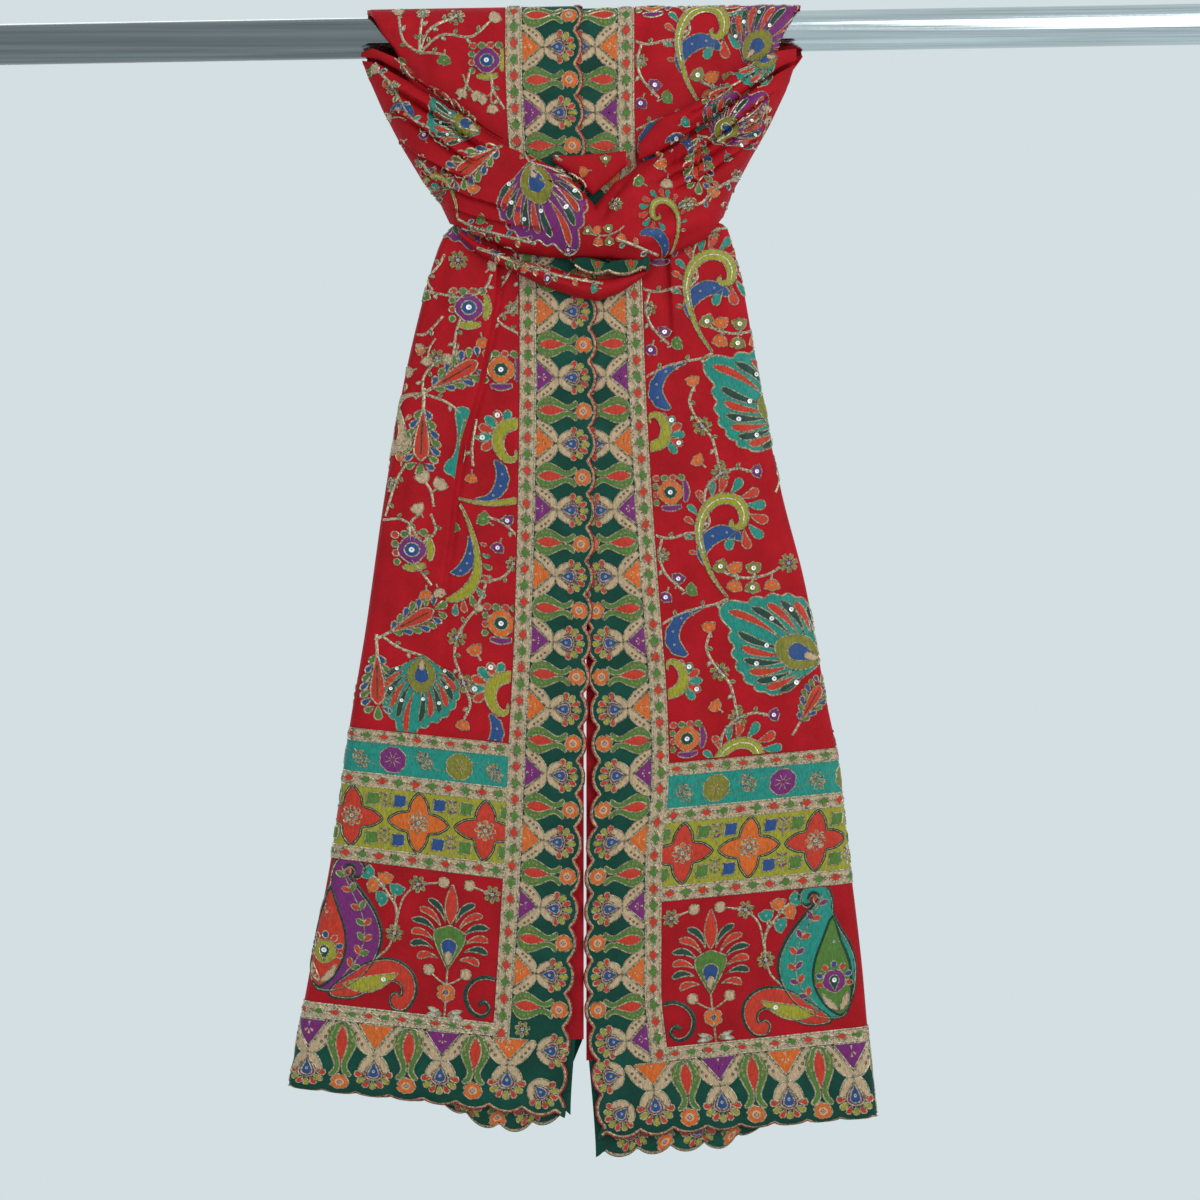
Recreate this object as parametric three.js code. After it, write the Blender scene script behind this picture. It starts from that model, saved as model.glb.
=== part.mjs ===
// An embroidered red dupatta, folded lengthwise into four layers and hitched over a level display rod.
// Millimetres, +Z up. The origin is the middle of the rod, the front of the cloth faces -Y.
import * as THREE from 'three';

// Driving dimensions
const WALL = 1.2; // thickness of one layer of embroidered cloth
const SEAM_GAP = 0.35; // gap that separate pieces keep at a seam
const ROD_RADIUS = 16;
const ROD_LENGTH = 1000;
const ROD_SLOPE = 0.0171; // the right end of the rod sits a little higher
const SIDE_BORDER_WIDTH = 60; // scalloped border with its braided chain band
const HEM_BORDER_HEIGHT = 62;
const SCALLOP_PITCH = 26;
const SCALLOP_DEPTH = 6;
const SCALLOP_RADIUS = (SCALLOP_PITCH ** 2 / 4 + SCALLOP_DEPTH ** 2) / (2 * SCALLOP_DEPTH);
const BACK_LAYER_INSET = 4; // how far the back layer's fold stays inside the inner edge
const LIFT_FADE_DROP = 110; // below this drop the cloth no longer follows the rod's slope

// Sections of the left end. drop is measured down from the rod's centre at the inner edge, and is
// negative where the cloth bends round the rod; outerDrop is the same row at the outer fold.
const LEFT_END = {
  side: -1,
  wrapRadius: 22.4,
  waistDrop: 148, // where the band holds the end in
  seamDrop: 565,
  hemDrop: 851,
  columns: ['drop', 'outerDrop', 'xInner', 'xOuter', 'yFront', 'yBack'],
  rows: [
    [-35.2, -35.2, -2, -172, -22.4, -17.2],
    [0, 0, -2, -159, -22.4, -17.2],
    [13, 13, -2, -149, -23, -17.2],
    [56, 56, -1, -133, -25, -16],
    [95, 95, 1, -116, -26.5, -15],
    [132, 132, 5, -99, -27, -14.5],
    [148, 148, 6, -98, -27, -14.5],
    [162, 162, 7, -111, -27, -14],
    [183, 183, 9, -119, -27.5, -13],
    [212, 211, 9.4, -127, -28, -12],
    [280, 276, 9.4, -142, -29, -11],
    [380, 371, 8, -158, -30, -10],
    [485, 470, 5, -172, -30.5, -10],
    [565, 546, 1, -184.5, -31, -10],
    [660, 637, -3, -197, -31, -10],
    [766, 739, -9.5, -216, -31, -10],
    [851, 826, -15, -232, -31, -10],
  ],
};

const RIGHT_END = {
  side: 1,
  wrapRadius: 20.4,
  waistDrop: 144,
  seamDrop: 585,
  hemDrop: 868,
  columns: LEFT_END.columns,
  rows: [
    [-32, -32, -22, 170, -20.4, -17.2],
    [0, 0, -22, 158, -20.4, -17.2],
    [9, 9, -22, 153.5, -21, -17.2],
    [56, 56, -22, 138, -23, -16],
    [95, 95, -21, 117, -24.5, -15],
    [130, 130, -19, 100, -25, -14.5],
    [144, 144, -18, 99, -25, -14.5],
    [157, 157, -17, 112, -25, -14],
    [176, 174, -17, 117, -25.5, -13],
    [200, 197, -16, 123, -26, -12],
    [285, 279, -13, 137, -27, -11],
    [373, 364, -8, 154.5, -28, -10],
    [443, 432, -3, 172, -28.5, -10],
    [543, 527, 4, 189.5, -29, -10],
    [585, 567, 5, 197.5, -29, -10],
    [660, 640, -0.5, 206, -29, -10],
    [755, 733, -1, 217, -29, -10],
    [807, 784, 4, 221.5, -29, -10],
    [868, 850, 9.4, 228.5, -29, -10],
  ],
};

// The large pleat on the left end: the outer part lies on the inner part along this line.
const LEFT_PLEAT = {
  x: [-68, -81, -97, -106, -111, -113],
  drop: [185, 276, 335, 409, 450, 560],
  lift: 2.6,
  fadeDrop: 380, // from here to the end of its line the pleat eases out
};
// The short tuck on the right end, just under the band.
const RIGHT_TUCK = { x: [65, 68, 70], drop: [150, 236, 262], lift: 2.4, fadeDrop: 212 };
const PLEAT_STEP = 4; // width over which the cloth steps up onto a pleat

// Soft flutes that the hanging cloth takes towards its hem
const FLUTES = { depth: 1.1, wavelength: 132, startDrop: 260, fullDrop: 760, clearX: 18, easeX: 30 };

// The layers folded inside an end, set in from the outer ones
const INNER_FRONT_GAP = 4.9;
const INNER_BACK_GAP = 2.4;
const INNER_FOLD_GAP = 4;
// How far the inner layers hang below their row at the hem
const LEFT_INNER_DROOP = { depth: 16, centreX: -65, halfWidth: 46 };
const RIGHT_INNER_DROOP = { depth: 15, fadeX: 105, fadeWidth: 40 };

// The stretches that pass behind the rod
const BACK_GATHER = 8; // how much narrower they get on their way round
const RIGHT_BACK_SHIFT = 14; // the right one starts this far from the end's inner edge
const LEAVE_LEAN = 0.28; // share of a half turn by which its inner side leaves the rod earlier

// Edges of the band that crosses in front, as x and z pairs from left to right.
const BAND_TOP_EDGE = [
  [-174.7, -23.4], [-161.5, -27.3], [-148.2, -36.7], [-128.7, -49.9], [-109.2, -62.4], [-91.3, -72.5],
  [-74.1, -85], [-58.5, -93.6], [-39.8, -101.4], [-17.2, -112.3], [-6.2, -123.2], [7.8, -138.8],
  [23.4, -120.1], [34.3, -113.9], [42.1, -106.1], [57.7, -99.8], [78, -88.1], [94.4, -78],
  [110, -65.5], [126.4, -52.3], [144.3, -39], [164.6, -26.5],
];
const BAND_BOTTOM_EDGE = [
  [-106, -151.3], [-89.7, -159], [-74, -165.4], [-52.3, -175.5], [-31.2, -178.6], [-10.9, -180.2],
  [7.8, -180.2], [19.5, -180.2], [42.1, -184.9], [56.2, -180.2], [73.3, -173.9], [94.4, -164.6],
  [108.4, -145.9],
];
// Where the band turns round the outer edges of the two ends, from the rod down.
const BAND_LEFT_TURN = [
  [-174.7, -23.4], [-171, -34], [-159, -61.6], [-143.5, -91.3], [-127, -118.6], [-113, -136.5],
  [-106, -151.3],
];
const BAND_RIGHT_TURN = [
  [164.6, -26.5], [157.6, -46.8], [144.3, -74.9], [128.7, -102.2], [115.4, -127.1], [108.4, -145.9],
];
const LOWER_ROLL_TOP = [
  [-98, -158], [-86, -166], [-70, -172.5], [-50, -181], [-30, -185.5], [-12, -191], [5, -195.6],
  [20, -195.6], [35, -192.3], [48, -188],
];
const LOWER_ROLL_BOTTOM = [
  [-97, -163], [-80.3, -178.6], [-62.4, -186.4], [-35.9, -199.7], [-19.5, -205.9], [-4.7, -210.6],
  [10.1, -212.9], [27.3, -206.7], [42.9, -196], [50, -191.5],
];
const LEFT_UPPER_FOLD = {
  top: [[-175.5, -17.2], [-166, -14.8], [-146.6, -23.4], [-129.5, -39.8], [-106, -53.8], [-91.3, -65.5],
    [-78, -77.2], [-66.3, -84]],
  bottom: [[-175.5, -20.5], [-161, -24], [-147, -33], [-127.5, -46], [-108, -58.8], [-91.3, -69],
    [-76, -80], [-64, -87]],
};
const RIGHT_UPPER_FOLD = {
  top: [[42, -90.5], [57.7, -71], [73.3, -64.7], [94.4, -53.8], [103.7, -46], [113, -36.7], [127, -30.4],
    [150.5, -17.2], [165.5, -14]],
  bottom: [[42, -103.2], [57.7, -97], [76.5, -85.7], [92.8, -75.6], [108.4, -63.2], [124.5, -50], [142.5, -36.3],
    [155, -28.2], [165.5, -22.9]],
};
const INNER_FOLD = {
  top: [[-25, -99], [-12, -100], [4, -98.5], [20, -97], [32, -96]],
  bottom: [[-24, -105], [-10, -115], [6, -130.5], [21, -117.5], [32, -107.5]],
};
const BAND_EDGE_STRIP = { xStart: -8, xEnd: 50, top: -183.5, drop: 7, yFront: -38.8 };

// Depths of the band in front of the hanging ends
const TURN_Y = -18; // where the band passes the outer edges of the ends
const BAND_BACK_Y = -31.5; // the band's upper and lower edges
const MAIN_ROLL_BULGE = 24;
const LOWER_ROLL_BACK_Y = -30.6;
const LOWER_ROLL_BULGE = 14;
const UPPER_FOLD_BULGE = 7;
const TURN_SHARPNESS = 18; // how squarely the band turns round the ends

// Materials
const redCloth = new THREE.MeshStandardMaterial({ color: 0xaf1426, roughness: 0.75, metalness: 0 });
const redPanel = new THREE.MeshStandardMaterial({ color: 0xa81524, roughness: 0.75, metalness: 0 });
const greenBorder = new THREE.MeshStandardMaterial({ color: 0x14503f, roughness: 0.7, metalness: 0 });
const chrome = new THREE.MeshStandardMaterial({ color: 0xb9c0c4, roughness: 0.15, metalness: 1 });

const dupatta = new THREE.Group();

// Small helpers
const mix = (a, b, part) => a + (b - a) * part;
const clamp01 = (value) => Math.min(1, Math.max(0, value));
const smooth = (value) => {
  const part = clamp01(value);
  return part * part * (3 - 2 * part);
};

function spread(count) {
  return Array.from({ length: count + 1 }, (_, index) => index / count);
}

// A smooth value between table rows (a cubic through the rows with limited slopes).
function tableValue(keys, values, key) {
  const last = keys.length - 1;
  if (key <= keys[0]) return values[0];
  if (key >= keys[last]) return values[last];
  const at = keys.findIndex((value) => value > key) - 1;
  const slopeAt = (index) => {
    if (index <= 0 || index >= last) return 0;
    const before = (values[index] - values[index - 1]) / (keys[index] - keys[index - 1]);
    const after = (values[index + 1] - values[index]) / (keys[index + 1] - keys[index]);
    return before * after <= 0 ? 0 : (2 * before * after) / (before + after);
  };
  const step = keys[at + 1] - keys[at];
  const part = (key - keys[at]) / step;
  const square = part * part;
  const cube = square * part;
  return (2 * cube - 3 * square + 1) * values[at] + (cube - 2 * square + part) * step * slopeAt(at)
    + (3 * square - 2 * cube) * values[at + 1] + (cube - square) * step * slopeAt(at + 1);
}

function sectionAt(end, drop) {
  const drops = end.rows.map((row) => row[0]);
  const section = { drop };
  end.columns.slice(1).forEach((column, index) => {
    section[column] = tableValue(drops, end.rows.map((row) => row[index + 1]), drop);
  });
  return section;
}

// A point at a share of the length of a line of x and z pairs.
function alongLine(points, share) {
  const lengths = [0];
  for (let index = 1; index < points.length; index += 1) {
    const dx = points[index][0] - points[index - 1][0];
    const dz = points[index][1] - points[index - 1][1];
    lengths.push(lengths[index - 1] + Math.hypot(dx, dz));
  }
  const target = clamp01(share) * lengths[lengths.length - 1];
  const found = lengths.findIndex((length) => length >= target);
  const to = Math.max(1, found);
  const part = (target - lengths[to - 1]) / (lengths[to] - lengths[to - 1]);
  return [mix(points[to - 1][0], points[to][0], part), mix(points[to - 1][1], points[to][1], part)];
}

// How far a scalloped edge draws back from its tips at a distance along the edge.
function scallopInset(distance) {
  const cycles = distance / SCALLOP_PITCH;
  const across = (cycles - Math.floor(cycles) - 0.5) * SCALLOP_PITCH;
  return SCALLOP_RADIUS - Math.sqrt(SCALLOP_RADIUS ** 2 - across ** 2);
}

// Distances along a scalloped edge: each cusp, and three points on each scallop.
function scallopStations(from, to) {
  const shares = [0, 0.22, 0.5, 0.78];
  const stations = [from];
  for (let scallop = Math.floor(from / SCALLOP_PITCH); scallop * SCALLOP_PITCH < to; scallop += 1) {
    shares.forEach((share) => {
      const distance = (scallop + share) * SCALLOP_PITCH;
      if (distance > from + 2 && distance < to - 2) stations.push(distance);
    });
  }
  stations.push(to);
  return stations;
}

// The closed solid of a cloth whose face is a grid of points; the wall lies on the side opposite to
// the face's normal, which is the cross product of the row and column directions times facing.
function clothSolid(name, material, grid, facing, wall = WALL) {
  const rows = grid.length;
  const columns = grid[0].length;
  const at = (row, column) => grid[Math.min(rows - 1, Math.max(0, row))][Math.min(columns - 1, Math.max(0, column))];
  const positions = [];
  grid.forEach((line) => line.forEach((point) => positions.push(point.x, point.y, point.z)));
  for (let row = 0; row < rows; row += 1) {
    for (let column = 0; column < columns; column += 1) {
      const down = at(row + 1, column).clone().sub(at(row - 1, column)).normalize();
      const across = at(row, column + 1).clone().sub(at(row, column - 1)).normalize();
      const normal = down.cross(across).normalize().multiplyScalar(facing);
      const inner = at(row, column).clone().addScaledVector(normal, -wall);
      positions.push(inner.x, inner.y, inner.z);
    }
  }
  const face = (row, column) => row * columns + column;
  const back = (row, column) => rows * columns + face(row, column);
  const triangles = [];
  const quad = (a, b, c, d) => {
    if (facing > 0) triangles.push(a, b, c, a, c, d);
    else triangles.push(a, c, b, a, d, c);
  };
  for (let row = 0; row < rows - 1; row += 1) {
    for (let column = 0; column < columns - 1; column += 1) {
      quad(face(row, column), face(row + 1, column), face(row + 1, column + 1), face(row, column + 1));
      quad(back(row, column), back(row, column + 1), back(row + 1, column + 1), back(row + 1, column));
    }
  }
  for (let row = 0; row < rows - 1; row += 1) {
    const end = columns - 1;
    quad(face(row, 0), back(row, 0), back(row + 1, 0), face(row + 1, 0));
    quad(face(row + 1, end), back(row + 1, end), back(row, end), face(row, end));
  }
  for (let column = 0; column < columns - 1; column += 1) {
    const end = rows - 1;
    quad(face(0, column), face(0, column + 1), back(0, column + 1), back(0, column));
    quad(face(end, column + 1), face(end, column), back(end, column), back(end, column + 1));
  }
  const geometry = new THREE.BufferGeometry();
  geometry.setAttribute('position', new THREE.Float32BufferAttribute(positions, 3));
  geometry.setIndex(triangles);
  geometry.computeVertexNormals();
  const mesh = new THREE.Mesh(geometry, material);
  mesh.name = name;
  dupatta.add(mesh);
}

// Depth added to the front layer by its pleat or tuck
function pleatLift(end, x, drop) {
  const pleat = end.side < 0 ? LEFT_PLEAT : RIGHT_TUCK;
  const line = tableValue(pleat.drop, pleat.x, drop);
  const lastDrop = pleat.drop[pleat.drop.length - 1];
  const fade = smooth((lastDrop - drop) / (lastDrop - pleat.fadeDrop));
  return pleat.lift * fade * smooth((end.side * (x - line)) / PLEAT_STEP + 0.5);
}

// Depth added by the flutes
function fluteDepth(x, drop, phase) {
  const growth = smooth((drop - FLUTES.startDrop) / (FLUTES.fullDrop - FLUTES.startDrop));
  const wave = Math.sin((2 * Math.PI * x) / FLUTES.wavelength + phase);
  return FLUTES.depth * growth * wave * smooth((Math.abs(x) - FLUTES.clearX) / FLUTES.easeX);
}

// A point of an end: x across, a depth, and the row's drop, bent round the rod above its centre.
function placeOnEnd(end, section, x, depth) {
  const reach = clamp01((x - section.xInner) / (section.xOuter - section.xInner));
  const drop = mix(section.drop, section.outerDrop, reach);
  const lift = ROD_SLOPE * x * smooth((LIFT_FADE_DROP - drop) / LIFT_FADE_DROP);
  if (drop < 0) {
    const angle = drop / end.wrapRadius;
    return new THREE.Vector3(x, depth * Math.cos(angle), depth * Math.sin(angle) + lift);
  }
  return new THREE.Vector3(x, depth, lift - drop);
}

// Depths of the nested layers at a row: the outer U, or the U folded inside it
function layerDepths(section, inside) {
  if (!inside) return { front: section.yFront, back: section.yBack };
  return { front: section.yFront + INNER_FRONT_GAP, back: section.yBack - INNER_BACK_GAP };
}

// x of the inner fold at the back; the left end's stays clear of the right end's front layer.
function backFoldX(end, drop) {
  const own = sectionAt(end, drop).xInner + end.side * BACK_LAYER_INSET;
  if (end.side > 0) return own;
  const rightInner = sectionAt(RIGHT_END, drop).xInner;
  return Math.min(own, rightInner - BACK_LAYER_INSET);
}

// One row of a lengthwise folded layer: front, outer fold and back, as shares of each stretch.
function foldedRow(end, drop, frontStart, layout, inside, hemAt = null) {
  const section = sectionAt(end, drop);
  const depths = layerDepths(section, inside);
  const radius = (depths.back - depths.front) / 2;
  const outer = section.xOuter - end.side * (inside ? INNER_FOLD_GAP : 0);
  const turn = outer - end.side * radius;
  const start = frontStart(section);
  const foldX = backFoldX(end, drop) + (inside ? end.side : 0);
  const row = [];
  const add = (x, depth) => {
    const point = placeOnEnd(end, section, x, depth);
    if (hemAt) point.z += hemAt(x, depth);
    row.push(point);
  };
  layout.front.forEach((share) => {
    const x = mix(start, turn, share);
    const fullness = inside ? 0 : pleatLift(end, x, drop) + fluteDepth(x, drop, end.side);
    const edgeFade = smooth((1 - share) / 0.12);
    add(x, depths.front - fullness * edgeFade);
  });
  layout.fold.forEach((share) => {
    const angle = Math.PI * share;
    add(turn + end.side * radius * Math.sin(angle), depths.front + radius * (1 - Math.cos(angle)));
  });
  layout.back.forEach((share) => {
    const x = mix(turn, foldX, share);
    const fullness = inside ? 0 : fluteDepth(x, drop, end.side + 1.4) * smooth((1 - share) / 0.1);
    add(x, depths.back + fullness * smooth(share / 0.12));
  });
  return row;
}

const fieldStart = (end) => (section) => section.xInner + end.side * (SIDE_BORDER_WIDTH + SEAM_GAP);
const FOLD_SHARES = [0.25, 0.5, 0.75];
const FIELD_LAYOUT = { front: spread(10), fold: FOLD_SHARES, back: spread(4) };

function stretch(from, to, count) {
  return spread(count).map((share) => mix(from, to, share));
}

// The red field above the seam, folded round the outer edge, in the stretches above and below the waist
function addField(end, name) {
  const top = end.rows[0][0];
  const waist = end.waistDrop;
  const parts = [
    [`${name}_field_upper`, [...stretch(top, 0, 4), 26, 60, 95, 120, 136, waist - SEAM_GAP]],
    [`${name}_field_lower`, [waist, 155, 162, 176, 200, 240, 285, 335, 390, 450, 510, end.seamDrop - SEAM_GAP]],
  ];
  parts.forEach(([partName, drops]) => {
    const grid = drops.map((drop) => foldedRow(end, drop, fieldStart(end), FIELD_LAYOUT, false));
    clothSolid(partName, redCloth, grid, end.side);
  });
}

// The end panel below the seam, down to the hem border
function addPanel(end, name) {
  const bottom = end.hemDrop - HEM_BORDER_HEIGHT - SEAM_GAP;
  const drops = stretch(end.seamDrop, bottom, 5);
  const grid = drops.map((drop) => foldedRow(end, drop, fieldStart(end), FIELD_LAYOUT, false));
  clothSolid(`${name}_end_panel`, redPanel, grid, end.side);
}

// How much the hem's scallops draw up, at a distance along the hem and a share of the border's height
function hemDraw(distance, share) {
  return scallopInset(distance) * smooth((share - 0.6) / 0.4);
}

// The scalloped hem border, all along the folded end
function addHemBorder(end, name) {
  const top = end.hemDrop - HEM_BORDER_HEIGHT;
  const layout = { front: spread(20), fold: FOLD_SHARES, back: spread(18) };
  const grid = [0, 0.6, 0.82, 1].map((share) => {
    const drop = mix(top, end.hemDrop, share);
    const start = fieldStart(end)(sectionAt(end, drop));
    return foldedRow(end, drop, fieldStart(end), layout, false, (x, depth) => {
      const onBack = depth > -20 ? 7 : 0;
      return hemDraw(Math.abs(x - start) + onBack, share);
    });
  });
  clothSolid(`${name}_hem_border`, greenBorder, grid, end.side);
}

// A stretch of the scalloped side border, which lies at the front inner edge
function addSideBorder(end, name, from, to) {
  const shares = [0, 0.3, 1];
  const grid = scallopStations(from, to).map((drop) => {
    const section = sectionAt(end, drop);
    return shares.map((share) => {
      const inset = scallopInset(drop) * smooth((0.5 - share) / 0.5);
      const x = section.xInner + end.side * (inset + share * (SIDE_BORDER_WIDTH - SEAM_GAP));
      return placeOnEnd(end, section, x, section.yFront);
    });
  });
  clothSolid(name, greenBorder, grid, end.side);
}

// The square at the corner, scalloped on its inner side and along its hem
function addCorner(end, name) {
  const top = end.hemDrop - HEM_BORDER_HEIGHT;
  const drops = scallopStations(top, end.hemDrop);
  const across = scallopStations(0, SIDE_BORDER_WIDTH - SEAM_GAP);
  const grid = drops.map((drop) => {
    const section = sectionAt(end, drop);
    const share = (drop - top) / HEM_BORDER_HEIGHT;
    return across.map((distance) => {
      const sideShare = distance / SIDE_BORDER_WIDTH;
      const inset = scallopInset(drop) * smooth((0.5 - sideShare) / 0.5) * 0.8;
      const point = placeOnEnd(end, section, section.xInner + end.side * (distance + inset), section.yFront);
      point.z += hemDraw(distance + 6, share) * 0.8;
      return point;
    });
  });
  clothSolid(`${name}_corner`, greenBorder, grid, end.side);
}

// How far the inner layers hang below their row, from the inner edge outwards
function innerHemDroop(end, x) {
  if (end.side < 0) {
    const { depth, centreX, halfWidth } = LEFT_INNER_DROOP;
    return depth * Math.max(0, 1 - ((x - centreX) / halfWidth) ** 2);
  }
  const { depth, fadeX, fadeWidth } = RIGHT_INNER_DROOP;
  return depth * (1 - smooth((x - fadeX) / fadeWidth));
}

// The two layers folded inside the end: field, panel and hem border
function addInnerLayers(end, name) {
  const start = (section) => backFoldX(end, section.drop) + end.side * 1.5;
  const layout = { front: spread(5), fold: FOLD_SHARES, back: spread(4) };
  const hemTop = end.hemDrop - HEM_BORDER_HEIGHT;
  const parts = [
    [`${name}_inner_field`, redCloth, stretch(170, end.seamDrop - SEAM_GAP, 7)],
    [`${name}_inner_panel`, redPanel, stretch(end.seamDrop, hemTop - SEAM_GAP, 3)],
  ];
  parts.forEach(([partName, material, drops]) => {
    const grid = drops.map((drop) => foldedRow(end, drop, start, layout, true));
    clothSolid(partName, material, grid, end.side);
  });
  const hemLayout = { front: spread(22), fold: FOLD_SHARES, back: spread(12) };
  const grid = [0, 0.6, 0.82, 1].map((share) => {
    const drop = mix(hemTop, end.hemDrop, share);
    return foldedRow(end, drop, start, hemLayout, true, (x) => {
      const droop = innerHemDroop(end, x) * smooth(share);
      return hemDraw(Math.abs(x) + 11, share) - droop;
    });
  });
  clothSolid(`${name}_inner_hem_border`, greenBorder, grid, end.side);
}

// The stretch behind the rod: over its top, down its back and outwards to the band's turn
function addBackWrap(end, name, turnLine) {
  const section = sectionAt(end, end.rows[0][0]);
  const radius = end.wrapRadius;
  const startAngle = (2.2 * SEAM_GAP) / radius;
  const widthShares = spread(12);
  const fanShares = [0.12, 0.25, 0.4, 0.55, 0.7, 0.85, 1];
  const outerX = section.xOuter;
  const innerX = section.xInner;
  const leaveAngle = (share) => Math.PI * (1 - LEAVE_LEAN * share);
  const onRod = (share, angle) => {
    const gather = smooth(angle / Math.PI) * BACK_GATHER;
    const inner = innerX + end.side * (gather + (end.side < 0 ? 0 : RIGHT_BACK_SHIFT));
    const x = mix(outerX + end.side * gather * 0.2, inner, share);
    return new THREE.Vector3(x, radius * Math.sin(angle), radius * Math.cos(angle) + ROD_SLOPE * x);
  };
  const grid = spread(8).map((turn) => widthShares.map(
    (share) => onRod(share, mix(startAngle, leaveAngle(share), turn)),
  ));
  fanShares.forEach((part) => {
    grid.push(widthShares.map((share) => {
      const from = onRod(share, leaveAngle(share));
      const [turnX, turnZ] = alongLine(turnLine, share);
      const to = new THREE.Vector3(turnX, TURN_Y + 1, turnZ);
      const control = new THREE.Vector3(
        mix(turnX, from.x, 0.04), mix(-12, 4, smooth(share * 2)), mix(turnZ, from.z, 0.05) - 3 * (1 - share),
      );
      const point = from.multiplyScalar((1 - part) ** 2);
      point.addScaledVector(control, 2 * part * (1 - part));
      return point.addScaledVector(to, part ** 2);
    }));
  });
  clothSolid(`${name}_back_wrap`, redCloth, grid, end.side);
}

// A roll of gathered cloth between a top and a bottom line, bulging forward
function rollGrid(top, bottom, settings) {
  const { columns, profile, backY, bulge, turns } = settings;
  return columns.map((across) => profile.map((angle) => {
    const part = (1 - Math.cos(angle)) / 2;
    const [topX, topZ] = alongLine(top, across);
    const [bottomX, bottomZ] = alongLine(bottom, across);
    let x = mix(topX, bottomX, part);
    let z = mix(topZ, bottomZ, part);
    if (turns) {
      const sides = [[turns.left, 0, (1 - across) ** 3], [turns.right, 1, across ** 3]];
      sides.forEach(([line, end, weight]) => {
        const [turnX, turnZ] = alongLine(line, part);
        const [startX, startZ] = alongLine(top, end);
        const [endX, endZ] = alongLine(bottom, end);
        x += weight * (turnX - mix(startX, endX, part));
        z += weight * (turnZ - mix(startZ, endZ, part));
      });
    }
    const depth = backY(across) - bulge(across) * Math.sin(angle);
    return new THREE.Vector3(x, depth, z);
  }));
}

const HALF_TURN = spread(10).map((share) => share * Math.PI);
const SMALL_HALF_TURN = spread(6).map((share) => share * Math.PI);
const BAND_COLUMNS = [0, 0.012, 0.03, 0.06, 0.1, ...stretch(0.15, 0.85, 20), 0.9, 0.94, 0.97, 0.988, 1];

// 0 at the two turns, quickly rising to 1 in front of the ends
const awayFromTurns = (across) => 1 - Math.abs(1 - 2 * across) ** TURN_SHARPNESS;

function addBand() {
  const bandBack = (across) => mix(TURN_Y, BAND_BACK_Y, awayFromTurns(across));
  const mainRoll = rollGrid(BAND_TOP_EDGE, BAND_BOTTOM_EDGE, {
    columns: BAND_COLUMNS,
    profile: HALF_TURN,
    backY: bandBack,
    bulge: (across) => MAIN_ROLL_BULGE * Math.sin(Math.PI * across) ** 0.8,
    turns: { left: BAND_LEFT_TURN, right: BAND_RIGHT_TURN },
  });
  clothSolid('band_main_roll', redCloth, mainRoll, 1);

  const lowerRoll = rollGrid(LOWER_ROLL_TOP, LOWER_ROLL_BOTTOM, {
    columns: spread(16),
    profile: SMALL_HALF_TURN,
    backY: () => LOWER_ROLL_BACK_Y,
    bulge: (across) => mix(3, LOWER_ROLL_BULGE, Math.sin(Math.PI * across)),
  });
  clothSolid('band_lower_roll', redCloth, lowerRoll, 1);

  const upperBack = (across, open) => mix(BAND_BACK_Y, TURN_Y, open(across));
  const leftFold = rollGrid(LEFT_UPPER_FOLD.top, LEFT_UPPER_FOLD.bottom, {
    columns: [0, 0.02, 0.06, 0.12, 0.2, 0.3, 0.42, 0.55, 0.7, 0.85, 1],
    profile: SMALL_HALF_TURN,
    backY: (across) => upperBack(across, (part) => (1 - part) ** 9),
    bulge: (across) => UPPER_FOLD_BULGE * Math.sin(Math.PI * mix(0.05, 0.9, across)),
  });
  clothSolid('band_left_upper_fold', redCloth, leftFold, 1);

  const rightFold = rollGrid(RIGHT_UPPER_FOLD.top, RIGHT_UPPER_FOLD.bottom, {
    columns: [0, 0.15, 0.3, 0.45, 0.58, 0.7, 0.8, 0.88, 0.94, 0.98, 1],
    profile: SMALL_HALF_TURN,
    backY: (across) => upperBack(across, (part) => part ** 9),
    bulge: (across) => UPPER_FOLD_BULGE * Math.sin(Math.PI * mix(0.1, 0.95, across)),
  });
  clothSolid('band_right_upper_fold', redCloth, rightFold, 1);

  const innerFold = rollGrid(INNER_FOLD.top, INNER_FOLD.bottom, {
    columns: spread(8),
    profile: SMALL_HALF_TURN,
    backY: () => BAND_BACK_Y,
    bulge: () => 3,
  });
  clothSolid('band_inner_fold', redCloth, innerFold, 1);
}

// The scalloped edge that shows between the two rolls of the band
function addBandEdge() {
  const { xStart, xEnd, top, drop, yFront } = BAND_EDGE_STRIP;
  const stations = scallopStations(0, xEnd - xStart);
  const grid = stations.map((distance) => [0, 0.4, 1].map((share) => {
    const x = xStart + distance;
    const sag = 4 * Math.sin((Math.PI * distance) / (xEnd - xStart));
    const z = top - sag - share * (drop - scallopInset(distance) * 0.6);
    return new THREE.Vector3(x, yFront + 2 * share, z);
  }));
  clothSolid('band_scalloped_edge', greenBorder, grid, 1);
}

function addRod() {
  const rod = new THREE.Mesh(new THREE.CylinderGeometry(ROD_RADIUS, ROD_RADIUS, ROD_LENGTH, 48), chrome);
  rod.name = 'display_rod';
  rod.rotation.z = -Math.PI / 2;
  const tilt = new THREE.Group();
  tilt.rotation.y = -Math.atan(ROD_SLOPE);
  tilt.add(rod);
  dupatta.add(tilt);
}

function addEnd(end, name) {
  addField(end, name);
  addPanel(end, name);
  addHemBorder(end, name);
  addSideBorder(end, `${name}_side_border_upper`, end.rows[0][0], end.seamDrop - SEAM_GAP);
  addSideBorder(end, `${name}_side_border_lower`, end.seamDrop, end.hemDrop - HEM_BORDER_HEIGHT - SEAM_GAP);
  addCorner(end, name);
  addInnerLayers(end, name);
}

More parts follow.
